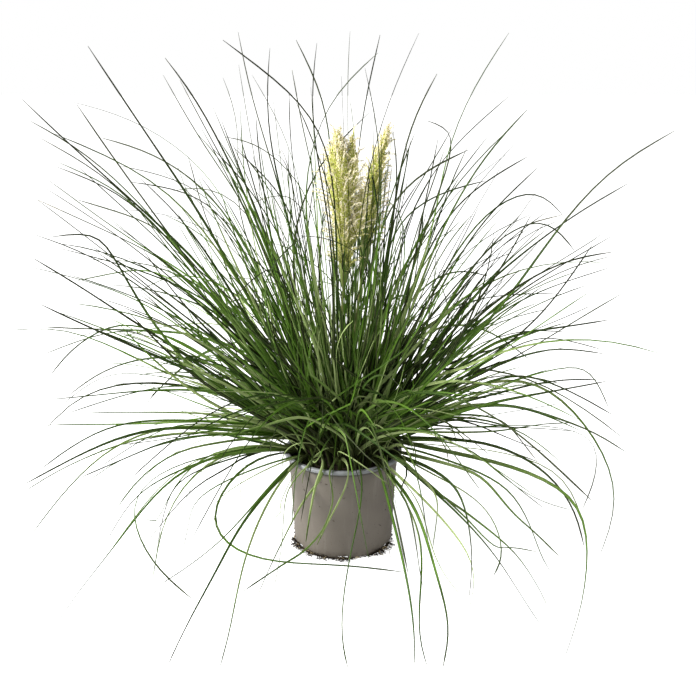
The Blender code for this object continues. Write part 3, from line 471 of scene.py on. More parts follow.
# The root fringe: brown roots that have grown out of the drain openings and matted round the pot's foot.
# They are fine and wiry, felted against the plastic, with loose curls and a few fresh cream-coloured ones.
FRINGE_STEPS = 180
FRINGE_GAP = 0.0006
FRINGE_LEAST = (0.0006, 0.0009)
FRINGE_MOST = (0.0036, 0.0064)
FRINGE_CLUMPS = ((205, 12), (228, 9), (247, 9), (270, 8), (311, 9), (330, 10), (30, 10), (90, 16), (150, 13))
FRINGE_SECTION = ((0.0, 0.5, 0.0), (0.0, 1.0, 0.1), (0.3, 0.8, 0.4), (0.7, 0.45, 0.75))
FRINGE_ROUGH = 0.0007
FRINGE_LEAST_HEIGHT = 0.0002
ROOTS = 470
ROOT_POINTS = 10
ROOT_STEP = (0.0010, 0.0027)
ROOT_WANDER = 0.34
ROOT_SINK = 0.22
ROOT_RETURN = 1.6
ROOT_STARTS = (0.0010, 0.0042)
ROOT_LIMITS = (0.0025, 0.0095)
ROOT_HEIGHT = 0.013
ROOT_OFF_WALL = 0.0003
ROOT_TIP = 0.25
BARE_SHARE = 0.10
ROOT_RADII = (0.00030, 0.00085)
FRESH_SHARE = 0.10
HANGING_TOWARD = 0.087
HANGING_ROOTS = (
    ((312, 553), (311, 559), (312, 568), (309, 580), (308, 590)),
    ((389, 549), (390, 556), (394, 564), (399, 569), (404, 571)),
    ((296, 544), (291, 549), (287, 550), (285, 555)),
    ((380, 553), (386, 558), (384, 563)),
    ((340, 557), (334, 562), (327, 562), (322, 566)),
)
ROOT_DARK = (0.010, 0.007, 0.004)
ROOT_BROWN = (0.040, 0.026, 0.012)
ROOT_FRESH = (0.50, 0.40, 0.24)
EYE = np.array((0.008, -1.346, 0.737))
EYE_PITCH = math.radians(17)
FOCAL_PIXELS = 900
PICTURE_MIDDLE = 348
LYING_HEIGHT = 0.0012


def sighted(place, toward):
    """The point seen at this place in the picture, so far before the pot's axis, or on the ground."""
    across = (place[0] - PICTURE_MIDDLE) / FOCAL_PIXELS
    above = (PICTURE_MIDDLE - place[1]) / FOCAL_PIXELS
    forward = math.cos(EYE_PITCH) + above * math.sin(EYE_PITCH)
    upward = above * math.cos(EYE_PITCH) - math.sin(EYE_PITCH)
    sight = np.array((across, forward, upward))
    point = EYE + sight * (-toward - EYE[1]) / sight[1]
    if point[2] < LYING_HEIGHT:
        point = EYE + sight * (LYING_HEIGHT - EYE[2]) / sight[2]
    return point


def clump_at(degrees):
    """How thick the roots have grown at this place round the pot, 0 to 1."""
    thick = 0.0
    for middle, spread in FRINGE_CLUMPS:
        away = (degrees - middle + 180) % 360 - 180
        thick += math.exp(-((away / spread) ** 2))
    return min(thick, 1.0)


def strands(name, paths, **qualities):
    """A mesh of open lines, one for each path, with qualities given at each of their points."""
    mesh = bpy.data.meshes.new(name)
    starts = np.cumsum([0] + [len(path) for path in paths])
    edges = [(index, index + 1) for low, high in zip(starts, starts[1:]) for index in range(low, high - 1)]
    mesh.from_pydata(np.concatenate(paths).tolist(), edges, [])
    for quality, rows in qualities.items():
        values = np.concatenate(rows)
        kind, key = ("FLOAT_VECTOR", "vector") if values.ndim == 2 else ("FLOAT", "value")
        mesh.attributes.new(quality, kind, "POINT").data.foreach_set(key, values.ravel())
    return mesh


def quality(tree, name, kind="FLOAT"):
    """A quality of the guide's points, in a geometry tree."""
    return Wire.node(tree, "GeometryNodeInputNamedAttribute", {"data_type": kind}, {"Name": name})


def painted(tree, name):
    """A quality stored on the surface, in a finish."""
    return Wire.node(tree, "ShaderNodeAttribute", {"attribute_name": name}, output="Fac")


def tube_tree(name, finish):
    """A geometry tree that makes round smooth tubes of lines, as thick as their radius says."""
    tree, guide, sides = new_tree(name, "sides")
    line = Wire.node(tree, "GeometryNodeMeshToCurve", None, {"Mesh": guide})
    ring = Wire.node(tree, "GeometryNodeCurvePrimitiveCircle", None, {"Resolution": sides, "Radius": 1.0})
    values = {"Curve": line, "Profile Curve": ring, "Scale": quality(tree, "radius"), "Fill Caps": True}
    tubes = Wire.node(tree, "GeometryNodeCurveToMesh", None, values)
    end_tree(tree, Wire.node(tree, "GeometryNodeSetShadeSmooth", None, {0: tubes}), finish)
    return tree


def skin(shape, rows):
    """Faces between rows of points, each row closed round."""
    for row, next_row in zip(rows, rows[1:]):
        for side in range(len(row)):
            beside = (side + 1) % len(row)
            shape.faces.new((row[side], row[beside], next_row[beside], next_row[side]))


rolls = random.Random(7)
felt = bmesh.new()
rows = []
for step in range(FRINGE_STEPS):
    degrees = 360 * step / FRINGE_STEPS
    turn = math.radians(degrees)
    outward = Vector((math.cos(turn), math.sin(turn), 0.0))
    thick = clump_at(degrees) * (0.7 + 0.6 * noise.noise(outward * 4.0))
    depth, height = (least + (most - least) * thick for least, most in zip(FRINGE_LEAST, FRINGE_MOST))
    inner = FRINGE_GAP / 3
    section = [(wall_radius(0.0) + inner, 0.0)]
    section += [(wall_radius(at * height) + out * depth, up * height) for at, out, up in FRINGE_SECTION]
    section += [(wall_radius(height) + inner, height)]
    row = []
    for reach, level in section:
        spot = outward * reach + Vector((0.0, 0.0, level))
        if level > 0.0 and reach > wall_radius(level) + inner:
            spot += outward * FRINGE_ROUGH * noise.fractal(spot * 700, 0.7, 2.0, 3)
            spot.z = max(spot.z + FRINGE_ROUGH * noise.noise(spot * 900), FRINGE_LEAST_HEIGHT)
        row.append(felt.verts.new(spot))
    rows.append(row)
skin(felt, rows + rows[:1])
bmesh.ops.recalc_face_normals(felt, faces=felt.faces)
felt_mesh = as_mesh("root_felt", felt)
felt_mesh.shade_smooth()

root_paths, root_radii, root_tones = [], [], []
while len(root_paths) < ROOTS:
    degrees = rolls.uniform(0.0, 360.0)
    thick = clump_at(degrees)
    if rolls.random() > BARE_SHARE + thick:
        continue
    turn = math.radians(degrees)
    height = rolls.uniform(ROOT_RADII[1], FRINGE_LEAST[1] + (FRINGE_MOST[1] - FRINGE_LEAST[1]) * thick)
    reach = wall_radius(height) + rolls.uniform(0.2, 1.0) * (ROOT_STARTS[0] + ROOT_STARTS[1] * thick)
    spot = np.array((reach * math.cos(turn), reach * math.sin(turn), height))
    heading = turn + rolls.choice((-1, 1)) * rolls.uniform(0.1, 1.5)
    going = np.array((math.cos(heading), math.sin(heading), rolls.uniform(-0.5, 0.5)))
    stride = rolls.uniform(*ROOT_STEP)
    path = [spot]
    for _ in range(ROOT_POINTS - 1):
        going = going + ROOT_WANDER * np.array([rolls.gauss(0.0, 1.0) for _ in range(3)])
        outward = spot[:2] / np.hypot(*spot[:2])
        if np.hypot(*spot[:2]) - wall_radius(spot[2]) - ROOT_LIMITS[0] - ROOT_LIMITS[1] * thick > 0:
            going[:2] -= ROOT_RETURN * outward
        going[2] -= ROOT_SINK
        going /= np.linalg.norm(going)
        spot = spot + stride * going
        near = wall_radius(max(spot[2], 0.0)) + ROOT_OFF_WALL
        if np.hypot(*spot[:2]) < near:
            spot[:2] *= near / np.hypot(*spot[:2])
        spot[2] = min(max(spot[2], ROOT_RADII[1]), ROOT_HEIGHT)
        path.append(spot)
    radius = rolls.uniform(*ROOT_RADII)
    root_paths.append(np.array(path))
    root_radii.append(radius * np.linspace(1.0, ROOT_TIP, ROOT_POINTS))
    tone = rolls.uniform(0.75, 1.0) if rolls.random() < FRESH_SHARE else rolls.uniform(0.0, 0.45)
    root_tones.append(np.full(ROOT_POINTS, tone))
for places in HANGING_ROOTS:
    path = np.array([sighted(place, HANGING_TOWARD) for place in places])
    root_paths.append(path)
    root_radii.append(np.linspace(0.0004, 0.00025, len(path)))
    root_tones.append(np.full(len(path), 0.6))

root_finish, tree, shader = new_finish("wiry_roots", Specular_IOR_Level=0.3)
place = Wire.node(tree, "ShaderNodeTexCoord", output="Object")
stain = place.noise(420.0, detail=4.0, roughness=0.65)
tone = painted(tree, "tone")
colour = stain.between(0.35, 0.70).mixed(ROOT_DARK, ROOT_BROWN)
Wire.plug(tree, shader.inputs["Base Color"], tone.between(0.45, 0.95).mixed(colour, ROOT_FRESH))
Wire.plug(tree, shader.inputs["Roughness"], 0.65 + 0.3 * stain)
Wire.plug(tree, shader.inputs["Normal"], bump(tree, place.noise(1500.0), 0.7, 0.0006))

guide = strands("root_lines", root_paths, radius=root_radii, tone=root_tones)
loose_roots = grown("loose_roots", guide, tube_tree("curling_roots", root_finish), sides=4.0)
felt_mesh.attributes.new("tone", "FLOAT", "POINT")
felt_mesh.materials.append(root_finish)
mat = bmesh.new()
mat.from_mesh(felt_mesh)
mat.from_mesh(loose_roots.data)
mat.to_mesh(loose_roots.data)
mat.free()
loose_roots.name = "matted_roots"
fit_piece(loose_roots, "roots", "root_fringe")


# The flower stems: two smooth green canes that rise through the leaves from the middle of the crown.
# Each is jointed, with a darker ring at its joints, and ends in the short sheath that its plume came out of.
FOOT_LEVEL = SOIL_LEVEL + GAP
CURVE_STEPS = 12
PLUME_RINGS = 7
LEFT_PLUME = ((345, 262), (344, 243), (342, 208), (339, 168), (337, 134))
LEFT_PLUME_TOWARD = 0.015
RIGHT_PLUME = ((365, 247), (368, 225), (373, 190), (380, 156), (387, 132))
RIGHT_PLUME_TOWARD = -0.045
LEFT_STEM_FOOT = (-0.008, 0.004)
RIGHT_STEM_FOOT = (0.010, 0.007)
STEM_RADIUS = 0.0021
STEM_UPRIGHT_SHARE = 0.35
STEM_TOP_GAP = 0.0006
STEM_POINTS = 90
STEM_JOINTS = (0.22, 0.50, 0.78)
STEM_TAPER = (1.06, 0.22)
JOINT_LENGTH = 0.006
JOINT_SWELLING = 0.16
BOOT_START = 0.88
BOOT_RADIUS = 0.0100
BOOT_POWER = 0.7
CANE_GREEN = (0.16, 0.20, 0.05)
CANE_PALE = (0.36, 0.34, 0.14)
JOINT_BROWN = (0.16, 0.10, 0.04)


def blended(t, start, end, low, high):
    """The point between two, at t where they stand at low and high."""
    return ((high - t) * start + (t - low) * end) / (high - low)


def smooth_curve(points):
    """Many points on a smooth curve (a centripetal Catmull-Rom spline), and the length up to each."""
    ends = np.vstack((2 * points[0] - points[1], points, 2 * points[-1] - points[-2]))
    knots = np.concatenate(([0.0], np.cumsum(np.linalg.norm(np.diff(ends, axis=0), axis=1) ** 0.5)))
    curve = [points[0]]
    for index in range(1, len(ends) - 2):
        p0, p1, p2, p3 = ends[index - 1 : index + 3]
        t0, t1, t2, t3 = knots[index - 1 : index + 3]
        for t in np.linspace(t1, t2, CURVE_STEPS + 1)[1:]:
            a1, a2, a3 = blended(t, p0, p1, t0, t1), blended(t, p1, p2, t1, t2), blended(t, p2, p3, t2, t3)
            b1, b2 = blended(t, a1, a2, t0, t2), blended(t, a2, a3, t1, t3)
            curve.append(blended(t, b1, b2, t1, t2))
    curve = np.array(curve)
    curve[:, 2] = np.maximum(curve[:, 2], LYING_HEIGHT)
    along = np.concatenate(([0.0], np.cumsum(np.linalg.norm(np.diff(curve, axis=0), axis=1))))
    return curve, along


def evenly_spaced(curve, along, count):
    """So many points on a path, with equal steps of the given measure between them."""
    wanted = np.linspace(0.0, along[-1], count)
    return np.column_stack([np.interp(wanted, along, curve[:, axis]) for axis in range(3)])


def plume_line(places, toward, count=PLUME_RINGS):
    """A plume's middle line, from its base to its tip."""
    curve, along = smooth_curve(np.array([sighted(place, toward) for place in places]))
    return evenly_spaced(curve, along, count)


def stem_points(foot, places, toward, count=STEM_POINTS):
    """A plume's stem, from the crown to just under the plume."""
    start = np.array((*foot, FOOT_LEVEL))
    line = plume_line(places, toward)
    end = line[0] - STEM_TOP_GAP * (line[1] - line[0]) / np.linalg.norm(line[1] - line[0])
    upright = start + np.array((0.0, 0.0, 1.0)) * (end - start)[2] * STEM_UPRIGHT_SHARE
    curve, along = smooth_curve(np.array((start, upright, end)))
    return evenly_spaced(curve, along, count)


cane_finish, tree, shader = new_finish("green_cane", Specular_IOR_Level=0.4)
place = Wire.node(tree, "ShaderNodeTexCoord", output="Object")
fibres = (place * (1.0, 1.0, 0.04)).noise(1800.0, detail=2.0)
stain = place.noise(90.0, detail=4.0)
colour = (0.6 * painted(tree, "tone") + 0.4 * stain).between(0.2, 0.8).mixed(CANE_GREEN, CANE_PALE)
Wire.plug(tree, shader.inputs["Base Color"], painted(tree, "joint").mixed(colour, JOINT_BROWN))
Wire.plug(tree, shader.inputs["Roughness"], 0.38 + 0.2 * stain)
Wire.plug(tree, shader.inputs["Normal"], bump(tree, fibres, 0.35, 0.0002))

round_cane = tube_tree("round_cane", cane_finish)
share = np.linspace(0.0, 1.0, STEM_POINTS)
joint = sum(np.exp(-(((share - middle) / JOINT_LENGTH) ** 2)) for middle in STEM_JOINTS)
radius = STEM_RADIUS * (STEM_TAPER[0] - STEM_TAPER[1] * share + JOINT_SWELLING * joint)
boot = np.clip((share - BOOT_START) / (1.0 - BOOT_START), 0.0, 1.0)
radius = radius + (BOOT_RADIUS - STEM_RADIUS) * boot**BOOT_POWER
for side, foot, places, toward in (
    ("left", LEFT_STEM_FOOT, LEFT_PLUME, LEFT_PLUME_TOWARD),
    ("right", RIGHT_STEM_FOOT, RIGHT_PLUME, RIGHT_PLUME_TOWARD),
):
    path = stem_points(foot, places, toward)
    guide = strands("cane_line", [path], radius=[radius], tone=[1.0 - share], joint=[np.minimum(joint, 1.0)])
    cane = grown(f"{side}_flower_cane", guide, round_cane, sides=14.0)
    fit_piece(cane, "stem_green", f"{side}_plume_stem")


# The plumes: two upright heads of silky flower spikelets, packed along short branches up each cane.
# The heart of a head is olive green, and its spikelets and their hairs dry to cream where they stand free;
# the olive heart is partly painted shade, and a random shade per grain paints grains lighter or darker.
LEFT_LOBE = ((349, 246), (358, 218), (362, 192))
LEFT_LOBE_RADII = (0.006, 0.010, 0.003)
LEFT_TONGUE = ((346, 215), (352, 170), (352, 137))
LEFT_TONGUE_RADII = (0.006, 0.013, 0.002)
HEART_SHARE = 0.66
HEART_SIDES = 40
HEART_RINGS = 70
HEART_ROUGH = 0.0022
HEART_LEAST = 0.0005
LEFT_HEAD = ((346, 272), *LEFT_PLUME[1:])
LEFT_HEAD_RADII = (0.0085, 0.0130, 0.0150, 0.0200, 0.0260, 0.0180, 0.003)
RIGHT_HEAD_RADII = (0.0100, 0.0140, 0.0165, 0.0105, 0.0015)
HEADS = {
    "left": (
        (LEFT_HEAD, LEFT_PLUME_TOWARD, LEFT_HEAD_RADII, 200, 3, 0.12),
        (LEFT_LOBE, LEFT_PLUME_TOWARD, LEFT_LOBE_RADII, 34, 4, 0.2),
        (LEFT_TONGUE, LEFT_PLUME_TOWARD, LEFT_TONGUE_RADII, 34, 6, 0.1),
    ),
    "right": ((RIGHT_PLUME, RIGHT_PLUME_TOWARD, RIGHT_HEAD_RADII, 150, 5, -0.10),),
}
HEAD_STATIONS = 60
BRANCH_POINTS = 9
LAST_BRANCH = 0.97
TIP_NARROWING = (0.3, 2.5)
BRANCH_REACH = (0.014, 0.026)
BRANCH_START = 0.45
BRANCH_STAND_OFF = 0.0060
BRANCH_CURL = 0.0065
BRANCH_DROOP = 0.0025
HEAD_SPREAD = 1.1
# The heart's low ripeness also paints it darker, as shade inside the head.
HEART_RIPENESS_AND_SHADE = 0.12
FOOT_GREENNESS = 0.9
FOOT_SHARE = 0.28
GOLDEN_ANGLE = math.pi * (3 - math.sqrt(5))
PLUME_GREEN = (0.17, 0.19, 0.06)
PLUME_OLIVE = (0.39, 0.43, 0.08)
PLUME_STRAW = (0.76, 0.71, 0.29)
PLUME_CREAM = (0.92, 0.85, 0.67)


def at_share(share, values):
    """The value so far along an evenly spaced row of values."""
    return np.interp(share, np.linspace(0.0, 1.0, len(values)), values)


def square_to(along):
    """Two directions square to this one and to each other."""
    side = np.cross(along, (0.0, 1.0, 0.0))
    side /= np.linalg.norm(side)
    return side, np.cross(along, side)


def plume_heart(places, toward, radii):
    """The dense heart of a head: a rough spindle along its line."""
    line = plume_line(places, toward, HEART_RINGS)
    steps = np.gradient(line, axis=0)
    heart = bmesh.new()
    rows = []
    for index, (middle, step) in enumerate(zip(line, steps)):
        side, other = square_to(step / np.linalg.norm(step))
        reach = HEART_SHARE * at_share(index / (HEART_RINGS - 1), radii)
        row = []
        for turn in np.linspace(0.0, 2 * math.pi, HEART_SIDES, endpoint=False):
            outward = math.cos(turn) * side + math.sin(turn) * other
            rough = HEART_ROUGH * noise.fractal(Vector(middle + 0.02 * outward) * 260, 0.8, 2.0, 3)
            row.append(heart.verts.new(middle + outward * max(reach + rough, HEART_LEAST)))
        rows.append(row)
    skin(heart, rows)
    heart.faces.new(rows[0])
    heart.faces.new(rows[-1][::-1])
    bmesh.ops.recalc_face_normals(heart, faces=heart.faces)
    return heart


def branch_lines(places, toward, radii, count, seed, paleness):
    """The short branches of a head, in a spiral: each runs up inside it, then stands out at its end."""
    rolls = random.Random(seed)
    line = plume_line(places, toward, HEAD_STATIONS)
    length = np.linalg.norm(np.diff(line, axis=0), axis=1).sum()
    lines, ripeness = [], []
    for index in range(count):
        start = (index + rolls.random()) / count * LAST_BRANCH
        reach = rolls.uniform(*BRANCH_REACH) / length
        turn = index * GOLDEN_ANGLE + rolls.uniform(-0.3, 0.3)
        stand_off = BRANCH_STAND_OFF * rolls.uniform(0.3, 1.2)
        curl = BRANCH_CURL * rolls.uniform(0.2, 1.6)
        narrowing = min(1.0, TIP_NARROWING[0] + TIP_NARROWING[1] * (1.0 - start))
        path = []
        for share in np.linspace(0.0, 1.0, BRANCH_POINTS):
            station = start + reach * share
            middle = np.array([at_share(min(station, 1.0), line[:, axis]) for axis in range(3)])
            before = min(int(station * (HEAD_STATIONS - 1)), HEAD_STATIONS - 2)
            step = line[before + 1] - line[before]
            step = step / np.linalg.norm(step)
            middle = middle + step * max(station - 1.0, 0.0) * length
            side, other = square_to(step)
            outward = math.cos(turn) * side + math.sin(turn) * other
            spread = at_share(min(station, 1.0), radii) * (BRANCH_START + (1.0 - BRANCH_START) * share**0.7)
            drooped = np.array((0.0, 0.0, BRANCH_DROOP * curl / BRANCH_CURL * share**5))
            spread = spread + (stand_off * share + curl * share**3) * narrowing
            path.append(middle + outward * spread - drooped)
        lines.append(np.array(path))
        ripe = np.linspace(0.0, 1.0, BRANCH_POINTS) ** 0.8 + paleness + rolls.uniform(-0.15, 0.15)
        ripe = ripe - FOOT_GREENNESS * max(1.0 - start / FOOT_SHARE, 0.0)
        ripeness.append(ripe)
    return lines, ripeness


sheen = {"Specular_IOR_Level": 0.2, "Sheen_Weight": 0.5, "Sheen_Roughness": 0.4}
silk, tree, shader = new_finish("silky_spikelets", **sheen)
place = Wire.node(tree, "ShaderNodeTexCoord", output="Object")
# Ripeness and painted shade: darker olive in the heart and on the inner branches, and a random painted light
# and shade per grain.
ripe = painted(tree, "ripe") + painted(tree, "shade") - 0.45
mottle = place.noise(110.0, detail=3.0) - 0.5
ripe = ripe + 0.6 * mottle
colour = ripe.between(-0.9, -0.3).mixed(PLUME_GREEN, PLUME_OLIVE)
colour = ripe.between(-0.25, 0.40).mixed(colour, PLUME_STRAW)
Wire.plug(tree, shader.inputs["Base Color"], ripe.between(0.25, 0.95).mixed(colour, PLUME_CREAM))
Wire.plug(tree, shader.inputs["Roughness"], 0.7 + 0.2 * mottle)
Wire.plug(tree, shader.inputs["Normal"], bump(tree, place.noise(2500.0), 0.4, 0.0003))

HEAD_SIZES = {
    "spikelets per branch": 20.0,
    "spikelets per area": 150000.0,
    "spikelet length": 0.0046,
    "spikelet radius": 0.00085,
    "hairs per branch": 30.0,
    "hairs per area": 60000.0,
    "hair length": 0.0062,
    "hair radius": 0.00012,
    "twig radius": 0.00025,
}
tree, guide, *sizes = new_tree("feathery_head", *HEAD_SIZES)
branch_grains, area_grains, grain_length, grain_radius, *sizes = sizes
branch_hairs, area_hairs, hair_length, hair_radius, twig = sizes
is_branch = quality(tree, "branch").math("GREATER_THAN", 0.5)
values = {"Geometry": guide, "Selection": is_branch}
branches = Wire.node(tree, "GeometryNodeSeparateGeometry", {"domain": "POINT"}, values)
hearts = branches.also(1)
line = Wire.node(tree, "GeometryNodeMeshToCurve", None, {"Mesh": branches})
ring = Wire.node(tree, "GeometryNodeCurvePrimitiveCircle", None, {"Resolution": 3, "Radius": twig})
values = {"Curve": line, "Profile Curve": ring, "Fill Caps": True}
twigs = Wire.node(tree, "GeometryNodeCurveToMesh", None, values)
grown_parts = [hearts, twigs]
ball = Wire.node(tree, "GeometryNodeMeshUVSphere", None, {"Segments": 5, "Rings": 2, "Radius": 1.0})
half = grain_length * 0.5
size = Wire.node(tree, "ShaderNodeCombineXYZ", None, {0: grain_radius, 1: grain_radius, 2: half})
lift = Wire.node(tree, "ShaderNodeCombineXYZ", None, {2: half * 0.8})
grain = Wire.node(tree, "GeometryNodeTransform", None, {"Geometry": ball, "Translation": lift, "Scale": size})
values = {"Vertices": 3, "Radius Top": 0.0, "Radius Bottom": hair_radius, "Depth": hair_length}
hair = Wire.node(tree, "GeometryNodeMeshCone", None, values)
for per_branch, per_area, shape, tilt, seed in (
    (branch_grains, area_grains, grain, 0.6, 21),
    (branch_hairs, area_hairs, hair, 0.8, 22),
):
    values = {"Curve": line, "Count": per_branch}
    row = Wire.node(tree, "GeometryNodeCurveToPoints", {"mode": "COUNT"}, values)
    values = {"Mesh": hearts, "Density": per_area, "Seed": seed}
    spots = Wire.node(tree, "GeometryNodeDistributePointsOnFaces", None, values)
    rise = spots.also(1) * HEAD_SPREAD + (0.0, 0.0, 1.0)
    standing = Wire.node(tree, "FunctionNodeAlignRotationToVector", {"axis": "Z"}, {"Vector": rise})
    for points, facing, more in ((row, row.also(3), 0), (spots, standing, 1)):
        settings = {"data_type": "FLOAT", "domain": "POINT"}
        values = {"Geometry": points, "Name": "shade", "Value": random_between(tree, 0.0, 1.0, seed + more)}
        stored = Wire.node(tree, "GeometryNodeStoreNamedAttribute", settings, values)
        most = (tilt, tilt, 6.3)
        tilting = random_between(tree, (-tilt, -tilt, 0.0), most, seed + 4 + more, "FLOAT_VECTOR")
        values = {0: facing, 1: tilting}
        turned = Wire.node(tree, "FunctionNodeRotateRotation", {"rotation_space": "LOCAL"}, values)
        scale = random_between(tree, 0.6, 1.2, seed + 8 + more)
        values = {"Points": stored, "Instance": shape, "Rotation": turned, "Scale": scale}
        grown_parts.append(Wire.node(tree, "GeometryNodeInstanceOnPoints", None, values))
end_tree(tree, Wire.node(tree, "GeometryNodeJoinGeometry", None, {0: grown_parts}), silk)

for side, heads in HEADS.items():
    lines, ripeness = [], []
    whole = bmesh.new()
    for places, toward, radii, count, seed, paleness in heads:
        some_lines, some_ripeness = branch_lines(places, toward, radii, count, seed, paleness)
        lines += some_lines
        ripeness += some_ripeness
        heart = plume_heart(places, toward, radii)
        ripe = heart.verts.layers.float.new("ripe")
        for index, vert in enumerate(heart.verts):
            share = index // HEART_SIDES / HEART_RINGS
            vert[ripe] = HEART_RIPENESS_AND_SHADE + paleness - FOOT_GREENNESS * max(1.0 - share / FOOT_SHARE, 0.0)
        whole.from_mesh(as_mesh("plume_heart", heart))
    branches = strands("plume_branches", lines, ripe=ripeness, branch=[np.ones(len(line)) for line in lines])
    whole.from_mesh(branches)
    plume = grown(f"{side}_feathery_plume", as_mesh("plume_guide", whole), tree, **HEAD_SIZES)
    fit_piece(plume, "plume_silk", f"{side}_plume")


# The leafy shoots: each is a round sheath in the crown that holds a few narrow, channelled blades. They arch
# up and out, droop over the lip and thin to a hair, with a pale midrib and fine veins. Painted shade darkens
# their bases in the crown and their tips, and some tips dry to straw.
CROWN_RINGS = ((0.019, 6, 0.042), (0.032, 10, 0.042), (0.045, 13, 0.037), (0.057, 15, 0.029))
SHEATH_RADIUS = 0.0042
SHEATH_TOP_RADIUS = 0.003
WIDTH_UNIT = 0.001
NECK_WIDTH = 0.6
NECK_GROWTH = 3.0
TAPER_POWER = 0.6
LEVELLING = 0.5
LENGTH_PER_RADIAN = 0.05
HEADING_WEIGHT = 0.3
SHARPEST_TURN = math.radians(50)
LEAF_ASIDE = 0.0012
FIRST_LEAF_RISE = 0.45
NEXT_LEAF_RISE = 0.12
RIM_ROOM = 0.006
RIM_SAMPLES = 30
DEPTH_GROWTH = 1.35
DEPTH_STEP = 0.004
CROWN_SIGHTING = (345, 440)

# Each row is one leaf: how far its tip stands in front of the pot's axis, its greatest width in
# millimetres, and the places in the picture that it runs through, across and down, tip first.
UPPER_LEFT_LEAVES = (
    (0.06, 5, 22, 99, 60, 136, 100, 171, 132, 200, 160, 226, 200, 262),
    (-0.10, 4, 30, 121, 58, 134, 100, 164, 140, 203, 160, 225),
    (-0.22, 4, 58, 162, 90, 175, 128, 196),
    (0.14, 5, 88, 46, 118, 90, 140, 125, 163, 158, 200, 212, 228, 262),
    (-0.05, 4, 77, 105, 100, 140, 132, 184, 170, 236),
    (-0.18, 4, 68, 101, 100, 107, 137, 120, 160, 133, 200, 163, 225, 195),
    (-0.30, 4, 102, 138, 140, 147, 180, 168, 225, 210),
    (-0.12, 5, 48, 180, 75, 200, 100, 219, 150, 253, 210, 290),
    (0.02, 5, 45, 188, 80, 210, 110, 230, 140, 252, 195, 300),
    (0.12, 5, 36, 199, 60, 217, 80, 233, 120, 262, 160, 298),
    (0.16, 5, 33, 234, 60, 240, 90, 254, 115, 268, 160, 300),
    (0.10, 5, 33, 258, 60, 273, 100, 299, 130, 320, 160, 337, 200, 365, 230, 385),
    (-0.08, 5, 30, 267, 60, 274, 110, 288, 160, 312),
    (0.20, 5, 52, 237, 75, 231, 101, 230, 112, 255, 137, 300, 165, 343, 200, 378, 220, 395),
    (-0.28, 4, 78, 200, 120, 213, 160, 227),
    (-0.32, 4, 75, 281, 120, 272, 158, 268),
)
LOWER_LEFT_LEAVES = (
    (0.14, 6, 40, 304, 60, 314, 100, 332, 130, 345, 190, 370, 220, 385),
    (-0.14, 5, 43, 327, 80, 329, 130, 330, 190, 333, 220, 340),
    (-0.22, 5, 50, 376, 60, 358, 97, 330, 130, 320, 165, 308, 230, 310),
    (-0.05, 5, 68, 396, 80, 383, 100, 371, 125, 360, 150, 356, 200, 358),
    (0.05, 5, 51, 399, 80, 397, 140, 390, 200, 389, 230, 393),
    (-0.10, 5, 48, 425, 100, 424, 150, 424, 180, 421, 230, 421),
    (0.18, 6, 25, 484, 45, 472, 70, 460, 100, 444, 125, 434, 180, 426, 220, 430),
    (0.05, 5, 40, 470, 60, 453, 80, 440, 100, 429, 120, 422, 180, 420),
    (0.16, 5, 30, 537, 42, 520, 56, 500, 72, 482, 90, 463, 110, 447, 155, 428),
    (0.20, 5, 80, 478, 100, 469, 130, 457, 160, 443, 180, 437),
    (0.28, 5, 106, 543, 118, 520, 130, 500, 150, 484, 170, 475, 215, 457),
    (0.22, 4, 157, 550, 161, 522, 167, 500, 178, 480, 193, 445),
    (0.30, 4, 192, 599, 165, 580, 145, 555, 130, 520, 130, 500, 140, 483, 160, 470, 200, 457),
    (0.27, 5, 54, 628, 80, 590, 100, 565, 132, 526, 158, 487, 205, 457),
    (0.25, 4, 157, 587, 180, 573, 220, 543, 240, 522, 290, 465),
    (0.33, 6, 167, 668, 182, 634, 195, 610, 224, 559, 240, 525, 277, 450),
    (0.34, 6, 220, 668, 226, 650, 233, 619, 246, 552, 277, 486, 297, 463, 311, 448),
    (0.17, 4, 403, 572, 348, 563, 294, 565, 265, 563, 226, 550, 206, 519, 213, 500, 250, 455),
)
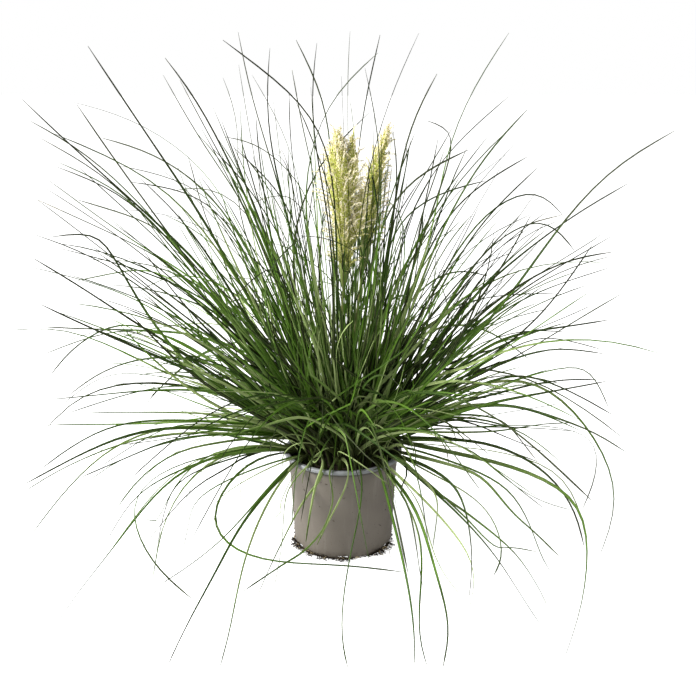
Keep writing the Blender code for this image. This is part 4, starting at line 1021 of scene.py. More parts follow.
TOP_LEAVES = (
    (0.05, 5, 165, 58, 185, 80, 200, 103, 223, 150, 260, 228),
    (-0.15, 4, 163, 75, 190, 125, 220, 170, 248, 210),
    (0.08, 5, 223, 40, 260, 67, 295, 92, 320, 122, 332, 152),
    (-0.10, 5, 238, 32, 241, 55, 248, 88, 258, 120, 275, 175, 290, 228),
    (0.15, 5, 270, 48, 267, 75, 265, 110, 274, 165, 290, 225),
    (-0.25, 4, 223, 78, 234, 98, 241, 140, 235, 210),
    (0.12, 4, 271, 153, 281, 151, 289, 163, 297, 205),
    (-0.05, 4, 296, 40, 310, 65, 327, 105, 330, 125),
    (0.12, 5, 317, 43, 312, 68, 310, 95, 312, 125, 322, 185, 330, 215),
    (-0.20, 4, 292, 70, 300, 120, 306, 145, 320, 205),
    (-0.30, 4, 289, 92, 288, 120, 294, 175, 298, 205),
    (-0.35, 4, 225, 137, 255, 140, 285, 167, 308, 192),
    (-0.15, 4, 350, 30, 347, 55, 348, 132),
    (0.20, 5, 378, 53, 347, 77, 325, 103, 312, 140, 303, 200),
    (-0.12, 4, 380, 35, 374, 57, 362, 115, 357, 150),
    (0.12, 5, 365, 68, 376, 110, 381, 150, 382, 180),
    (0.08, 5, 419, 33, 400, 72, 383, 115, 370, 165, 362, 200),
    (-0.05, 5, 437, 74, 415, 112, 402, 155, 392, 225),
    (0.10, 5, 509, 33, 475, 82, 453, 128, 442, 170, 435, 228),
    (-0.20, 4, 509, 96, 475, 124, 447, 152, 410, 210),
    (0.16, 5, 428, 121, 445, 121, 458, 133, 457, 145, 440, 190, 430, 215),
    (-0.15, 4, 452, 128, 425, 175, 395, 225),
    (0.00, 4, 527, 110, 495, 142, 470, 178, 442, 228),
    (-0.25, 4, 527, 157, 486, 180, 455, 205, 440, 225),
    (-0.30, 5, 485, 181, 445, 190, 405, 213, 393, 228),
    (0.15, 4, 468, 150, 425, 168, 397, 193, 385, 212),
    (-0.36, 4, 405, 142, 411, 152, 402, 180, 398, 200),
)
RIGHT_LEAVES = (
    (0.10, 5, 675, 131, 630, 153, 595, 182, 565, 218, 520, 283, 493, 320),
    (-0.05, 5, 627, 184, 580, 210, 530, 247, 470, 298),
    (0.05, 4, 537, 168, 505, 197, 475, 230),
    (-0.20, 4, 564, 217, 552, 198, 538, 188, 505, 197, 470, 228),
    (-0.15, 5, 574, 250, 558, 225, 535, 217, 505, 233, 475, 258),
    (0.08, 5, 612, 252, 570, 257, 520, 284, 480, 312),
    (-0.10, 5, 611, 267, 565, 281, 520, 299, 500, 310),
    (-0.22, 4, 604, 233, 565, 258, 520, 285),
    (0.12, 5, 592, 245, 568, 280, 537, 320),
    (-0.28, 4, 516, 251, 480, 264, 470, 275),
    (0.00, 6, 608, 320, 560, 328, 500, 338),
    (-0.15, 4, 594, 304, 555, 322, 530, 330),
    (0.05, 5, 604, 354, 578, 349, 552, 347, 530, 352, 500, 364, 465, 380),
    (0.15, 6, 607, 381, 570, 388, 530, 395, 500, 400, 470, 408),
    (-0.10, 5, 599, 380, 575, 378, 540, 382, 503, 392, 470, 400),
    (0.05, 5, 613, 415, 592, 401, 559, 386, 517, 372, 481, 365),
    (0.20, 6, 626, 452, 603, 434, 570, 422, 537, 411, 501, 402),
    (0.10, 5, 597, 562, 614, 532, 622, 500, 619, 478, 600, 440, 578, 413, 559, 390, 517, 373),
    (0.33, 6, 561, 668, 583, 610, 590, 570, 591, 537, 586, 502, 548, 477, 514, 464, 437, 450),
    (0.15, 5, 584, 546, 581, 521, 565, 490, 537, 463, 503, 446, 470, 439, 437, 439),
    (0.20, 5, 572, 510, 555, 507, 537, 501, 510, 483, 485, 461, 463, 443),
    (0.25, 5, 559, 556, 533, 528, 515, 518, 503, 501, 493, 487, 483, 474, 455, 466),
    (0.22, 5, 551, 572, 543, 565, 534, 530, 515, 492, 500, 480, 450, 460),
    (0.30, 5, 494, 575, 504, 563, 503, 541, 497, 521, 481, 501, 459, 486, 432, 474),
    (0.35, 5, 543, 628, 517, 590, 503, 563, 477, 532, 459, 512, 430, 487, 413, 472, 397, 458),
    (0.33, 5, 469, 601, 473, 575, 473, 545, 468, 515, 458, 485, 437, 437),
)
FRONT_LEAVES = (
    (0.37, 6, 428, 668, 419, 650, 417, 620, 424, 540, 427, 460, 433, 400, 412, 382, 375, 400),
    (0.38, 8, 415, 668, 415, 625, 410, 590, 403, 555, 393, 515, 385, 485, 383, 470),
    (0.32, 5, 443, 668, 448, 650, 452, 632, 448, 610, 432, 560, 419, 510, 416, 465),
    (0.20, 4, 433, 548, 437, 520, 438, 495, 433, 455),
    (0.12, 5, 306, 542, 309, 520, 314, 495, 316, 482, 325, 465, 333, 445),
    (0.30, 5, 244, 591, 283, 565, 306, 550, 324, 529, 333, 503, 333, 492, 330, 474, 336, 440),
    (0.14, 5, 317, 545, 322, 533, 335, 510, 345, 492, 349, 475, 348, 460, 340, 442),
    (0.34, 5, 348, 668, 341, 650, 341, 620, 349, 560, 361, 512, 365, 486, 362, 470, 366, 434),
    (0.20, 4, 273, 592, 281, 560, 284, 520, 286, 490, 289, 465, 300, 450),
)
SIGHTED_LEAVES = UPPER_LEFT_LEAVES + LOWER_LEFT_LEAVES + TOP_LEAVES + RIGHT_LEAVES + FRONT_LEAVES

# Leaves that point away from the camera or straight towards it: heading in degrees, length, and droop
ARCHING_LEAVES = (
    (45, 0.62, 0.52),
    (58, 0.66, 0.30),
    (72, 0.66, 0.45),
    (86, 0.62, 0.25),
    (97, 0.66, 0.50),
    (108, 0.60, 0.35),
    (122, 0.64, 0.42),
    (141, 0.58, 0.62),
    (-128, 0.50, 0.36),
    (-112, 0.54, 0.44),
    (-97, 0.46, 0.40),
    (-80, 0.52, 0.50),
    (-66, 0.48, 0.34),
    (-48, 0.54, 0.42),
)
ARCHING_LEAF_WIDTH = 5

# Thinner and younger leaves among the main ones, in rows like the first ones
SLENDER_LEAVES = (
    (-0.05, 3, 40, 138, 80, 159, 110, 178, 132, 200),
    (0.05, 3, 57, 167, 90, 178, 127, 196),
    (-0.12, 3, 120, 166, 160, 173, 195, 187, 215, 200),
    (0.04, 3, 130, 182, 150, 184, 180, 188, 220, 210),
    (-0.16, 3, 36, 199, 60, 210, 90, 223, 140, 247, 175, 265),
    (0.10, 3, 108, 210, 120, 207, 140, 207, 160, 211, 190, 220, 230, 240),
    (-0.05, 3, 42, 355, 75, 341, 100, 333, 160, 330),
    (0.10, 3, 55, 411, 75, 395, 90, 380, 115, 370, 140, 372, 220, 392),
    (0.12, 3, 66, 414, 100, 402, 130, 393, 190, 384),
    (0.22, 4, 22, 493, 45, 475, 72, 464, 102, 449, 127, 440, 180, 431, 220, 433),
    (0.00, 4, 85, 413, 140, 412, 200, 413, 230, 415),
    (0.18, 3, 100, 467, 120, 455, 137, 442, 160, 430, 180, 423),
    (0.14, 3, 118, 445, 140, 442, 170, 439, 225, 428),
    (0.20, 3, 178, 516, 186, 497, 197, 478, 220, 450),
    (0.24, 3, 181, 557, 189, 535, 192, 502),
    (0.22, 3, 222, 537, 212, 517, 213, 503, 235, 460),
    (-0.10, 4, 180, 80, 200, 118, 215, 147, 240, 190),
    (0.06, 3, 239, 210, 262, 194, 300, 195, 315, 203),
    (-0.12, 3, 252, 75, 272, 108, 283, 128, 297, 170),
    (0.10, 3, 234, 148, 250, 160, 275, 187, 290, 205),
    (0.14, 3, 256, 145, 260, 165, 261, 225),
    (0.12, 3, 280, 155, 280, 147, 286, 152, 290, 165, 297, 205),
    (-0.10, 4, 516, 142, 487, 173, 450, 222),
    (0.05, 3, 467, 148, 455, 170, 440, 215),
    (0.08, 3, 393, 130, 397, 150, 399, 165),
    (0.05, 4, 562, 215, 525, 222, 495, 240, 470, 268),
    (0.12, 4, 612, 256, 575, 264, 535, 284, 495, 312),
    (-0.10, 3, 528, 229, 505, 242, 490, 253),
    (-0.15, 3, 537, 190, 525, 210, 510, 228),
    (0.12, 3, 609, 409, 600, 384, 585, 364, 565, 353, 548, 347),
    (0.00, 3, 603, 350, 580, 343, 560, 338, 535, 336),
    (0.24, 3, 583, 508, 594, 492, 601, 463, 597, 437, 560, 425, 500, 425),
    (0.33, 4, 550, 612, 540, 590, 515, 553, 470, 515, 440, 494, 410, 470),
    (0.28, 3, 537, 552, 515, 548, 497, 547, 485, 538, 468, 520, 425, 480),
    (0.36, 4, 463, 628, 472, 608, 476, 585, 475, 560, 463, 490, 450, 450),
    (0.34, 4, 463, 597, 450, 585, 438, 565, 430, 545, 420, 500),
    (0.22, 3, 397, 510, 394, 492, 391, 475, 388, 462),
    (0.10, 4, 537, 461, 520, 440, 507, 421, 497, 417, 475, 414, 440, 415),
    (0.02, 4, 572, 423, 545, 422, 520, 428, 503, 432, 470, 432, 450, 433),
    (0.15, 4, 475, 416, 460, 418, 450, 421),
    (0.34, 4, 257, 598, 268, 570, 283, 542, 295, 516, 308, 492, 325, 479, 345, 470),
    (0.16, 3, 241, 533, 255, 528, 272, 520, 281, 512, 281, 503, 273, 490, 270, 466, 276, 452),
    (0.13, 3, 321, 455, 315, 463, 312, 460, 313, 442, 306, 428, 294, 418, 283, 417),
    (0.13, 3, 376, 424, 379, 418, 378, 410, 370, 406, 363, 411),
    (0.22, 5, 420, 480, 414, 464, 405, 446, 395, 430, 379, 422),
    (0.16, 6, 317, 418, 335, 413, 352, 411, 359, 417),
    (0.10, 4, 480, 380, 475, 370, 460, 356, 440, 342, 420, 335, 400, 332, 390, 340),
    (0.10, 3, 230, 302, 250, 280, 275, 265, 300, 262),
    (0.09, 3, 290, 236, 312, 232, 330, 236, 345, 243, 362, 252, 375, 264, 384, 285),
    (0.07, 3, 346, 246, 340, 257, 338, 268, 345, 275, 351, 269, 353, 280, 352, 330),
    (0.12, 4, 318, 300, 325, 320, 340, 370, 348, 400),
    (0.10, 3, 318, 305, 308, 330, 300, 350),
    (0.12, 3, 268, 429, 270, 426, 274, 424, 281, 424, 287, 423, 291, 421, 295, 416, 299, 411, 304, 407,
     315, 407),
    (0.14, 3, 269, 451, 272, 440, 275, 430, 278, 422, 281, 418, 288, 416, 297, 419, 310, 430),
    (0.13, 3, 331, 436, 323, 447, 320, 456, 316, 462, 312, 461, 312, 450, 311, 440, 306, 429, 300, 423,
     292, 418),
    (0.14, 5, 314, 419, 322, 416, 330, 414, 338, 412, 346, 411, 354, 412, 359, 416, 361, 426),
    (0.15, 4, 362, 478, 360, 458, 363, 445, 367, 433, 371, 427, 378, 421, 380, 415, 376, 408, 370, 405,
     366, 411, 364, 428),
    (0.24, 5, 428, 540, 421, 490, 415, 469, 409, 451, 401, 436, 391, 427, 380, 421, 370, 424),
    (0.22, 3, 406, 448, 398, 440, 390, 433, 383, 428, 376, 423, 368, 426),
    (0.10, 3, 373, 470, 379, 468, 386, 466, 393, 464, 400, 460, 408, 453, 400, 440, 385, 437),
    (0.10, 3, 384, 470, 383, 463, 382, 457, 377, 455, 371, 453, 364, 451, 358, 446),
    (0.08, 3, 394, 440, 387, 444, 381, 448, 374, 447, 363, 447, 354, 444),
    (0.11, 6, 381, 124, 382, 160, 382, 200, 379, 240, 376, 266, 372, 320),
    (0.10, 5, 380, 240, 380, 210, 378, 186, 374, 172, 370, 167, 368, 185, 367, 215, 366, 250),
)

# An arching leaf's path: shares of its length, then how far out and up it has gone by then
ARCH_STATIONS = (0.35, 0.6, 0.8, 1.0)
ARCH_OUT = 0.45
ARCH_OUT_GROWTH = 0.4
ARCH_UP = 0.95
ARCH_FALL = 0.35
ARCH_FALL_POWER = 2.2

# Where a leaf would run into what stands already, it is moved or turned aside until it passes. For this it
# counts as a few straight stretches, and each plume as these radii round its line and the reach of its locks.
BEND_PER_STRETCH = math.radians(36)
FEWEST_STRETCHES = 5
MOST_STRETCHES = 10
LEAF_CLEARANCE = 0.0004
SHIFT_STEP = 0.006
MOST_SHIFTS = 24
SHIFTS = [0.0] + [side * SHIFT_STEP * step for step in range(1, MOST_SHIFTS + 1) for side in (1, -1)]
STEM_STATIONS = 6
LOCK_STAND_OFF = 0.008
LEFT_PLUME_RADII = (0.004, 0.014, 0.0215, 0.017, 0.004)
RIGHT_PLUME_RADII = (0.003, 0.011, 0.0155, 0.012, 0.003)


def in_pot(point):
    """Whether a point lies in the pot or close round its rim."""
    return math.hypot(point[0], point[1]) < LIP_RADIUS + RIM_ROOM and point[2] < POT_HEIGHT + RIM_ROOM


def sighted_points(toward, places, shift, foot):
    """The points that a leaf runs through after its sheath, from its base to its tip, over the pot's rim."""
    places = np.array(places, float).reshape(-1, 2)[::-1]
    steps = np.diff(places, axis=0, prepend=[CROWN_SIGHTING])
    along = np.cumsum(np.linalg.norm(steps, axis=1))
    growth = toward + shift + foot[1]
    depths = growth * (along / along[-1]) ** DEPTH_GROWTH - foot[1]
    points = []
    nearest = -1.0
    for place, depth in zip(places, depths):
        depth = max(depth, nearest)
        while in_pot(sighted(place, depth)):
            depth += DEPTH_STEP
            nearest = depth
        points.append(sighted(place, depth))
    return np.array(points)


def arching_points(heading, length, droop, shift, foot):
    """The same for a leaf that rises over the crown and arches down to its tip."""
    outward = np.array((math.cos(heading + shift), math.sin(heading + shift), 0.0))
    points = []
    for share in ARCH_STATIONS:
        out = length * (ARCH_OUT * share + ARCH_OUT_GROWTH * share**2)
        up = length * (ARCH_UP * share - (ARCH_FALL + droop) * share**ARCH_FALL_POWER)
        points.append(outward * out + np.array((0.0, 0.0, foot[2] + up)))
    return np.array(points)


def turn_between(step, next_step):
    """The angle between two directions."""
    return math.acos(np.clip(step @ next_step / np.linalg.norm(step) / np.linalg.norm(next_step), -1.0, 1.0))


def bend_so_far(curve):
    """At each point of a path, the sum of the angles that it has turned through."""
    steps = np.diff(curve, axis=0)
    steps /= np.linalg.norm(steps, axis=1)[:, None]
    angles = np.arccos(np.clip((steps[1:] * steps[:-1]).sum(axis=1), -1.0, 1.0))
    return np.concatenate(([0.0], np.cumsum(angles), [angles.sum()]))


def leaf_width(share, width):
    """The blade's width so far along it: narrowed into the sheath, then one long taper to a hair."""
    return width * min(1.0, NECK_WIDTH + NECK_GROWTH * share) * (1.0 - share) ** TAPER_POWER


class Room:
    """The room that leaves, sheaths, stems and plumes take up so far, as tapering straight runs."""

    def __init__(self):
        self.starts = np.empty((0, 3))
        self.ends = np.empty((0, 3))
        self.start_radii = np.empty(0)
        self.end_radii = np.empty(0)
        self.owners = np.empty(0, int)

    def add(self, points, radii, owner):
        """Takes up the room of one more run. Its owner is its shoot's number, or 0 for a stem or plume."""
        points, radii = np.asarray(points, float), np.asarray(radii, float)
        self.starts = np.vstack((self.starts, points[:-1]))
        self.ends = np.vstack((self.ends, points[1:]))
        self.start_radii = np.concatenate((self.start_radii, radii[:-1]))
        self.end_radii = np.concatenate((self.end_radii, radii[1:]))
        self.owners = np.concatenate((self.owners, np.full(len(points) - 1, owner)))

    def clearance(self, points, radii, owner):
        """The least distance from a new run's surface to what other owners have placed."""
        others = self.owners != owner
        starts, ends = self.starts[others], self.ends[others]
        along = np.diff(points, axis=0)[:, None]
        other_along = (ends - starts)[None]
        apart = points[:-1, None] - starts[None]
        a = (along * along).sum(-1)
        b = (along * other_along).sum(-1)
        c = (other_along * other_along).sum(-1)
        d = (along * apart).sum(-1)
        e = (other_along * apart).sum(-1)
        share = np.clip((b * e - c * d) / np.maximum(a * c - b * b, 1e-15), 0.0, 1.0)
        other_share = np.clip((b * share + e) / c, 0.0, 1.0)
        share = np.clip((b * other_share - d) / a, 0.0, 1.0)
        between = apart + share[..., None] * along - other_share[..., None] * other_along
        radius = radii[:-1, None] * (1 - share) + radii[1:, None] * share
        other_radius = self.start_radii[others] * (1 - other_share) + self.end_radii[others] * other_share
        return (np.linalg.norm(between, axis=-1) - radius - other_radius).min()


def clearance_to_pot(points, radii):
    """The least distance to the upright ring that the pot's wall and lip fill."""
    shares = np.linspace(0.0, len(points) - 1, RIM_SAMPLES * (len(points) - 1) + 1)
    places = np.column_stack([np.interp(shares, range(len(points)), points[:, axis]) for axis in range(3)])
    reach = np.hypot(places[:, 0], places[:, 1])
    inner = WALL_TOP_RADIUS - WALL
    gap = np.maximum.reduce((places[:, 2] - POT_HEIGHT, reach - LIP_RADIUS, inner - reach))
    return (gap - np.interp(shares, range(len(points)), radii)).min()


class Leaf:
    """One blade: its width, and the rule that gives the points it runs through, moved by a small shift."""

    def __init__(self, width, rule):
        self.width = width * WIDTH_UNIT
        self.rule = rule
        points = rule(0.0, np.array((0.0, 0.0, FOOT_LEVEL)))
        middle = points[len(points) // 2]
        self.heading = math.atan2(middle[1], middle[0])
        self.peak = points[:, 2].max()


def sighted_leaf(toward, width, *places):
    """A leaf that runs through places in the picture."""
    return Leaf(width, partial(sighted_points, toward, places))


def all_leaves():
    """Every main leaf of the plant."""
    leaves = [sighted_leaf(*row) for row in SIGHTED_LEAVES]
    for degrees, length, droop in ARCHING_LEAVES:
        rule = partial(arching_points, math.radians(degrees), length, droop)
        leaves.append(Leaf(ARCHING_LEAF_WIDTH, rule))
    return leaves


class Shoot:
    """Leaves that stand in one sheath, which leans the way that they go."""

    def __init__(self, number, foot, sheath_length, leaves):
        self.number = number
        self.foot = foot
        self.leaves = leaves
        aim = np.mean([leaf.rule(0.0, foot)[0] for leaf in leaves], axis=0) - foot
        lean = aim / np.linalg.norm(aim) + np.array((0.0, 0.0, 1.0))
        self.top = foot + sheath_length * lean / np.linalg.norm(lean)

    def leaf_curve(self, leaves, index, shift=0.0):
        """The middle line of one of these leaves: out of the sheath, then along its points."""
        angle = 2 * math.pi * index / len(leaves)
        aside = LEAF_ASIDE * np.array((math.cos(angle), math.sin(angle), 0.0))
        rise = FIRST_LEAF_RISE + NEXT_LEAF_RISE * index
        start = self.foot + rise * (self.top - self.foot) + aside
        points = leaves[index].rule(shift, self.foot)
        while len(points) > 3 and turn_between(points[0] - self.top, points[1] - points[0]) > SHARPEST_TURN:
            points = points[1:]
        return smooth_curve(np.vstack((start, self.top + aside, points)))


def planned_shoots(leaves):
    """Tall leaves share the sheaths near the middle of the crown, and low ones those at its edge."""
    shoots = []
    waiting = sorted(leaves, key=lambda leaf: -leaf.peak)
    sheaths_left = sum(count for radius, count, sheath_length in CROWN_RINGS)
    for radius, count, sheath_length in CROWN_RINGS:
        share = round(len(waiting) * count / sheaths_left)
        ring, waiting = sorted(waiting[:share], key=lambda leaf: leaf.heading), waiting[share:]
        sheaths_left -= count
        turns = [2 * math.pi * index / count for index in range(count)]
        bounds = [round(len(ring) * index / count) for index in range(count + 1)]
        groups = [ring[low:high] for low, high in zip(bounds, bounds[1:])]
        off = sum(np.exp(1j * (leaf.heading - turn)) for turn, group in zip(turns, groups) for leaf in group)
        for turn, group in zip(turns, groups):
            angle = turn + np.angle(off)
            foot = np.array((radius * math.cos(angle), radius * math.sin(angle), FOOT_LEVEL))
            shoots.append(Shoot(len(shoots) + 1, foot, sheath_length, group))
    return shoots


def faceted(leaf, curve, along):
    """A leaf as a few straight stretches, shorter where it bends, and its half width at each station."""
    bend = bend_so_far(curve)
    stretches = min(max(math.ceil(bend[-1] / BEND_PER_STRETCH), FEWEST_STRETCHES), MOST_STRETCHES)
    spacing = along + LENGTH_PER_RADIAN * bend
    path = evenly_spaced(curve, spacing, stretches + 1)
    shares = np.interp(np.linspace(0.0, spacing[-1], stretches + 1), spacing, along) / along[-1]
    return path, np.array([leaf_width(share, leaf.width) for share in shares]) / 2


def settled_shifts(shoots, room):
    """How far each leaf is moved or turned aside. The outermost shoots are placed first."""
    for shoot in shoots:
        room.add((shoot.foot, shoot.top), (SHEATH_RADIUS, SHEATH_TOP_RADIUS), shoot.number)
    shifts = {}
    for shoot in reversed(shoots):
        for index, leaf in enumerate(shoot.leaves):
            best_clear = -1.0
            for shift in SHIFTS:
                run = faceted(leaf, *shoot.leaf_curve(shoot.leaves, index, shift))
                clear = min(room.clearance(*run, shoot.number), clearance_to_pot(*run))
                if clear > best_clear:
                    best_clear = clear
                    best_run = run
                    shifts[shoot.number, index] = shift
                if clear > LEAF_CLEARANCE:
                    break
            room.add(*best_run, shoot.number)
    return shifts


def side_directions(path):
    """The blade's side-to-side direction at each station: level where it can be, and never turning over."""
    steps = np.gradient(path, axis=0)
    steps /= np.linalg.norm(steps, axis=1)[:, None]
    chord = path[-1] - path[0]
    side = np.array((-chord[1], chord[0], 0.0))
    side /= np.linalg.norm(side)
    sides = []
    for step in steps:
        level = np.cross((0.0, 0.0, 1.0), step)
        if level @ side < 0:
            level = -level
        side = side + LEVELLING * level
        side = side - (side @ step) * step
        side = side / np.linalg.norm(side)
        sides.append(side)
    return np.array(sides), np.cross(steps, np.array(sides))


LEAF_POINTS = 26
BLADE_FOLD = 0.55
BLADE_THICKNESS = 0.14
LEAST_RADIUS = 0.00125
SLENDER_LEAST = 0.00088
TIP_TAPER = 0.05
FULLNESS = 1.35
BOX_MARGIN = 0.0018
SMOOTHINGS = 10
ROLL = 0.6
TWIST = 1.0
ARCH_NARROWING = 0.75
# Painted shade on the arching leaves that head towards the front.
ARCH_PAINTED_SHADE = 0.4
LOW_LEAF = 0.27
LOW_LEAF_LIGHTENING = 0.3
# Painted shade: the outer part of a high leaf is painted darker.
OUTER_PAINTED_SHADE = 1.1

# Fillers are parts of a shoot's own leaves, turned and raised a little. Where there are four values, each is
# for one ring of shoots, from the innermost outwards.
FILLERS = (25, 23, 18, 12)
FILLER_SWING = ((1.1, 0.50), (0.8, 0.36), (0.5, 0.26), (0.35, 0.20))
FILLER_WIDTHS = ((2.8, 5.0), (3.0, 5.4), (3.2, 5.8), (3.2, 6.0))
FILLER_LEAN = (0.15, 0.13, 0.10, 0.07)
FILLER_POINTS = 18
FILLER_REACH = (0.35, 0.88)
FILLER_LEAST_HEIGHT = 0.03
FILLER_BOW = 0.38
FILLER_SAG = 0.20
FILLER_CLEARANCE = (0.003, 0.012)
FRONT_MARGIN = 0.02
FILLER_TONES = ((-1.2, -0.1), (0.0, 0.8), (0.4, 1.3))
WIDE_SWING_SHARE = 0.45
LOW_LEAF_HEIGHT = 0.1
LOW_LEAF_WEIGHT = 0.10
SLENDER_SHARE = 0.3
SLENDER_WIDTHS = (1.4, 2.6)
SWING_BY = 0.45

# Dead leaves that curl in the crown, and the sheaths
CURL_POINTS = 18
CURL_LENGTH = (0.09, 0.22)
CURL_WIDTH = (1.0, 2.0)
CURL_CLEARANCE = 0.0002
SHEATH_SINK = 0.004
SHEATH_WRAP = 0.78
SHEATH_END_RADIUS = 0.0012

# Leaf colours. The darkest ones are painted shade: the deepest tone, the bases and sheaths in the crown, and
# the tips.
LEAF_SHADED = (0.007, 0.013, 0.003)
LEAF_DEEP = (0.012, 0.043, 0.002)
LEAF_GREEN = (0.060, 0.140, 0.009)
LEAF_LIGHT = (0.300, 0.380, 0.150)
LEAF_RIB = (0.300, 0.370, 0.110)
LEAF_NECK_SHADE = (0.022, 0.025, 0.008)
LEAF_TIP_SHADE = (0.011, 0.013, 0.006)
LEAF_STRAW = (0.420, 0.350, 0.200)

room = Room()
for foot, places, toward in (
    (LEFT_STEM_FOOT, LEFT_PLUME, LEFT_PLUME_TOWARD),
    (RIGHT_STEM_FOOT, RIGHT_PLUME, RIGHT_PLUME_TOWARD),
):
    stem = stem_points(foot, places, toward, STEM_STATIONS)
    room.add(stem, np.full(STEM_STATIONS, STEM_RADIUS), 0)
for places, toward, radii in (
    (LEFT_PLUME, LEFT_PLUME_TOWARD, LEFT_PLUME_RADII),
    (LEFT_LOBE, LEFT_PLUME_TOWARD, LEFT_LOBE_RADII),
    (RIGHT_PLUME, RIGHT_PLUME_TOWARD, RIGHT_PLUME_RADII),
):
    line = plume_line(places, toward)
    room.add(line, at_share(np.linspace(0.0, 1.0, PLUME_RINGS), radii) + LOCK_STAND_OFF, 0)
shoots = planned_shoots(all_leaves())
shifts = settled_shifts(shoots, room)
box_low, box_high = (np.array(corner) for corner in cad_box)
ring_of = [ring for ring, (radius, count, length) in enumerate(CROWN_RINGS) for _ in range(count)]


def laid_out(curve, along, points=LEAF_POINTS):
    """A leaf's stations, closer together where it bends, and how far along it each one is."""
    spacing = along + LENGTH_PER_RADIAN * bend_so_far(curve)
    path = evenly_spaced(curve, spacing, points)
    shares = np.interp(np.linspace(0.0, spacing[-1], points), spacing, along) / along[-1]
    smoother = path.copy()
    for _ in range(SMOOTHINGS):
        smoother[2:-1] = (smoother[1:-2] + 2 * smoother[2:-1] + smoother[3:]) / 4
    radii = np.full(points, 0.0005)
    if clearance_to_pot(smoother[4:], radii[4:]) > min(clearance_to_pot(path[4:], radii[4:]), 0.0):
        path = smoother
    return path, shares


def swung(path, shares, swing, lean, bow, sag):
    """A path turned gradually about the pot's axis and raised or lowered, more and more towards its tip."""
    ramp = np.clip(shares / SWING_BY, 0.0, 1.0)
    out = path[-1, :2] - path[0, :2]
    out = out / max(np.hypot(*out), 0.001)
    reach = (path[:, :2] - path[0, :2]) @ out
    rise = path[:, 2] - path[0, 2]
    lifts = lean * ramp + sag * shares
    drawn_in = reach * (np.cos(lifts) - 1.0) - rise * np.sin(lifts)
    x, y = (path[:, axis] + drawn_in * out[axis] for axis in (0, 1))
    angles = swing * ramp + bow * shares
    height = path[0, 2] + rise * np.cos(lifts) + reach * np.sin(lifts)
    turned = (x * np.cos(angles) - y * np.sin(angles), x * np.sin(angles) + y * np.cos(angles))
    return np.column_stack((*turned, np.maximum(height, LYING_HEIGHT)))


def curl_path(foot, heading, length, rolls):
    """A dead, dry leaf in the crown: it rises a little way out, then curls over and over."""
    spot = np.array(foot)
    rise = rolls.uniform(0.7, 1.3)
    bend = rolls.uniform(1.4, 3.6) / CURL_POINTS
    sweep = rolls.uniform(-1.6, 1.6) / CURL_POINTS
    path = [spot]
    for _ in range(CURL_POINTS - 1):
        level = math.cos(rise)
        going = np.array((level * math.cos(heading), level * math.sin(heading), math.sin(rise)))
        spot = spot + going * length / CURL_POINTS
        rise -= bend
        heading += sweep
        path.append(spot)
    return np.array(path)


class Foliage:
    """The blades and the sheath of one shoot, gathered as lines with their qualities."""

    def __init__(self):
        self.paths = []
        self.qualities = {name: [] for name in ("half_width", "along", "tone", "dryness", "tube")}
        self.faces = []

    def add(self, path, shares, half_widths, roll, twist, tone, dryness, least=LEAST_RADIUS, tube=0.0):
        """One more blade or tube."""
        path = np.clip(path, box_low + BOX_MARGIN, box_high - BOX_MARGIN)
        sides, faces = side_directions(path)
        angles = (roll + twist * shares)[:, None]
        self.faces.append(faces * np.cos(angles) + sides * np.sin(angles))
        self.paths.append(path)
        tip = np.clip((1.0 - shares / shares[-1]) / TIP_TAPER, 0.3, 1.0)
        self.qualities["half_width"].append(np.maximum(half_widths, least) * tip)
        self.qualities["along"].append(shares)
        for name, value in (("tone", tone), ("dryness", dryness), ("tube", tube)):
            self.qualities[name].append(np.full(len(path), value) if np.isscalar(value) else value)


def blade_widths(shares, width):
    """Half the blade's width at each station."""
    return np.array([FULLNESS * leaf_width(share, width) / 2 for share in shares])


def unlikeness(leaf, shoot):
    """How unlike a shoot's own leaves this one is, in where it heads and how high it rises."""
    headings = [leaf.heading - other.heading for other in shoot.leaves]
    turns = [abs((heading + math.pi) % (2 * math.pi) - math.pi) for heading in headings]
    rises = [abs(leaf.peak - other.peak) for other in shoot.leaves]
    return min(turns) * HEADING_WEIGHT + min(rises)


def lighter_by(leaf):
    """How much lighter a leaf is that hangs low over the front of the lip."""
    return LOW_LEAF_LIGHTENING * max(0.0, -math.sin(leaf.heading)) * (leaf.peak < LOW_LEAF)


def darker_by(leaf, shares):
    """How much painted shade darkens a leaf towards its tip: most where it stands high."""
    height = float(np.clip(leaf.peak / 0.4, 0.3, 1.0))
    return OUTER_PAINTED_SHADE * height * np.clip((shares - 0.45) / 0.4, 0.0, 1.0)


slender = {shoot.number: [] for shoot in shoots}
for row in SLENDER_LEAVES:
    leaf = sighted_leaf(*row)
    slender[min(shoots, key=partial(unlikeness, leaf)).number].append(leaf)

leaf_finish, tree, shader = new_finish("grass_blade", Specular_IOR_Level=0.12)
place = Wire.node(tree, "ShaderNodeTexCoord", output="Object")
across = painted(tree, "across")
along = painted(tree, "along")
dryness = painted(tree, "dryness")
tone = painted(tree, "tone") + 0.5 * (place.noise(22.0) - 0.5)
mottle = place.noise(160.0, detail=4.0, roughness=0.6)
veins = (across * 34.0).math("SINE")
colour = tone.between(-0.5, 0.0).mixed(LEAF_SHADED, LEAF_DEEP)
colour = tone.between(0.0, 0.5).mixed(colour, LEAF_GREEN)
colour = tone.between(0.5, 1.15).mixed(colour, LEAF_LIGHT)
midrib = across.math("ABSOLUTE").between(0.24, 0.06)
colour = (midrib * 0.25).mixed(colour, LEAF_RIB)
# Painted shade: each blade's base and its sheath are darkened to near black, where the crown lies in the
# clump's shade.
colour = (along.between(0.22, 0.05) * 0.9).mixed(colour, LEAF_NECK_SHADE)
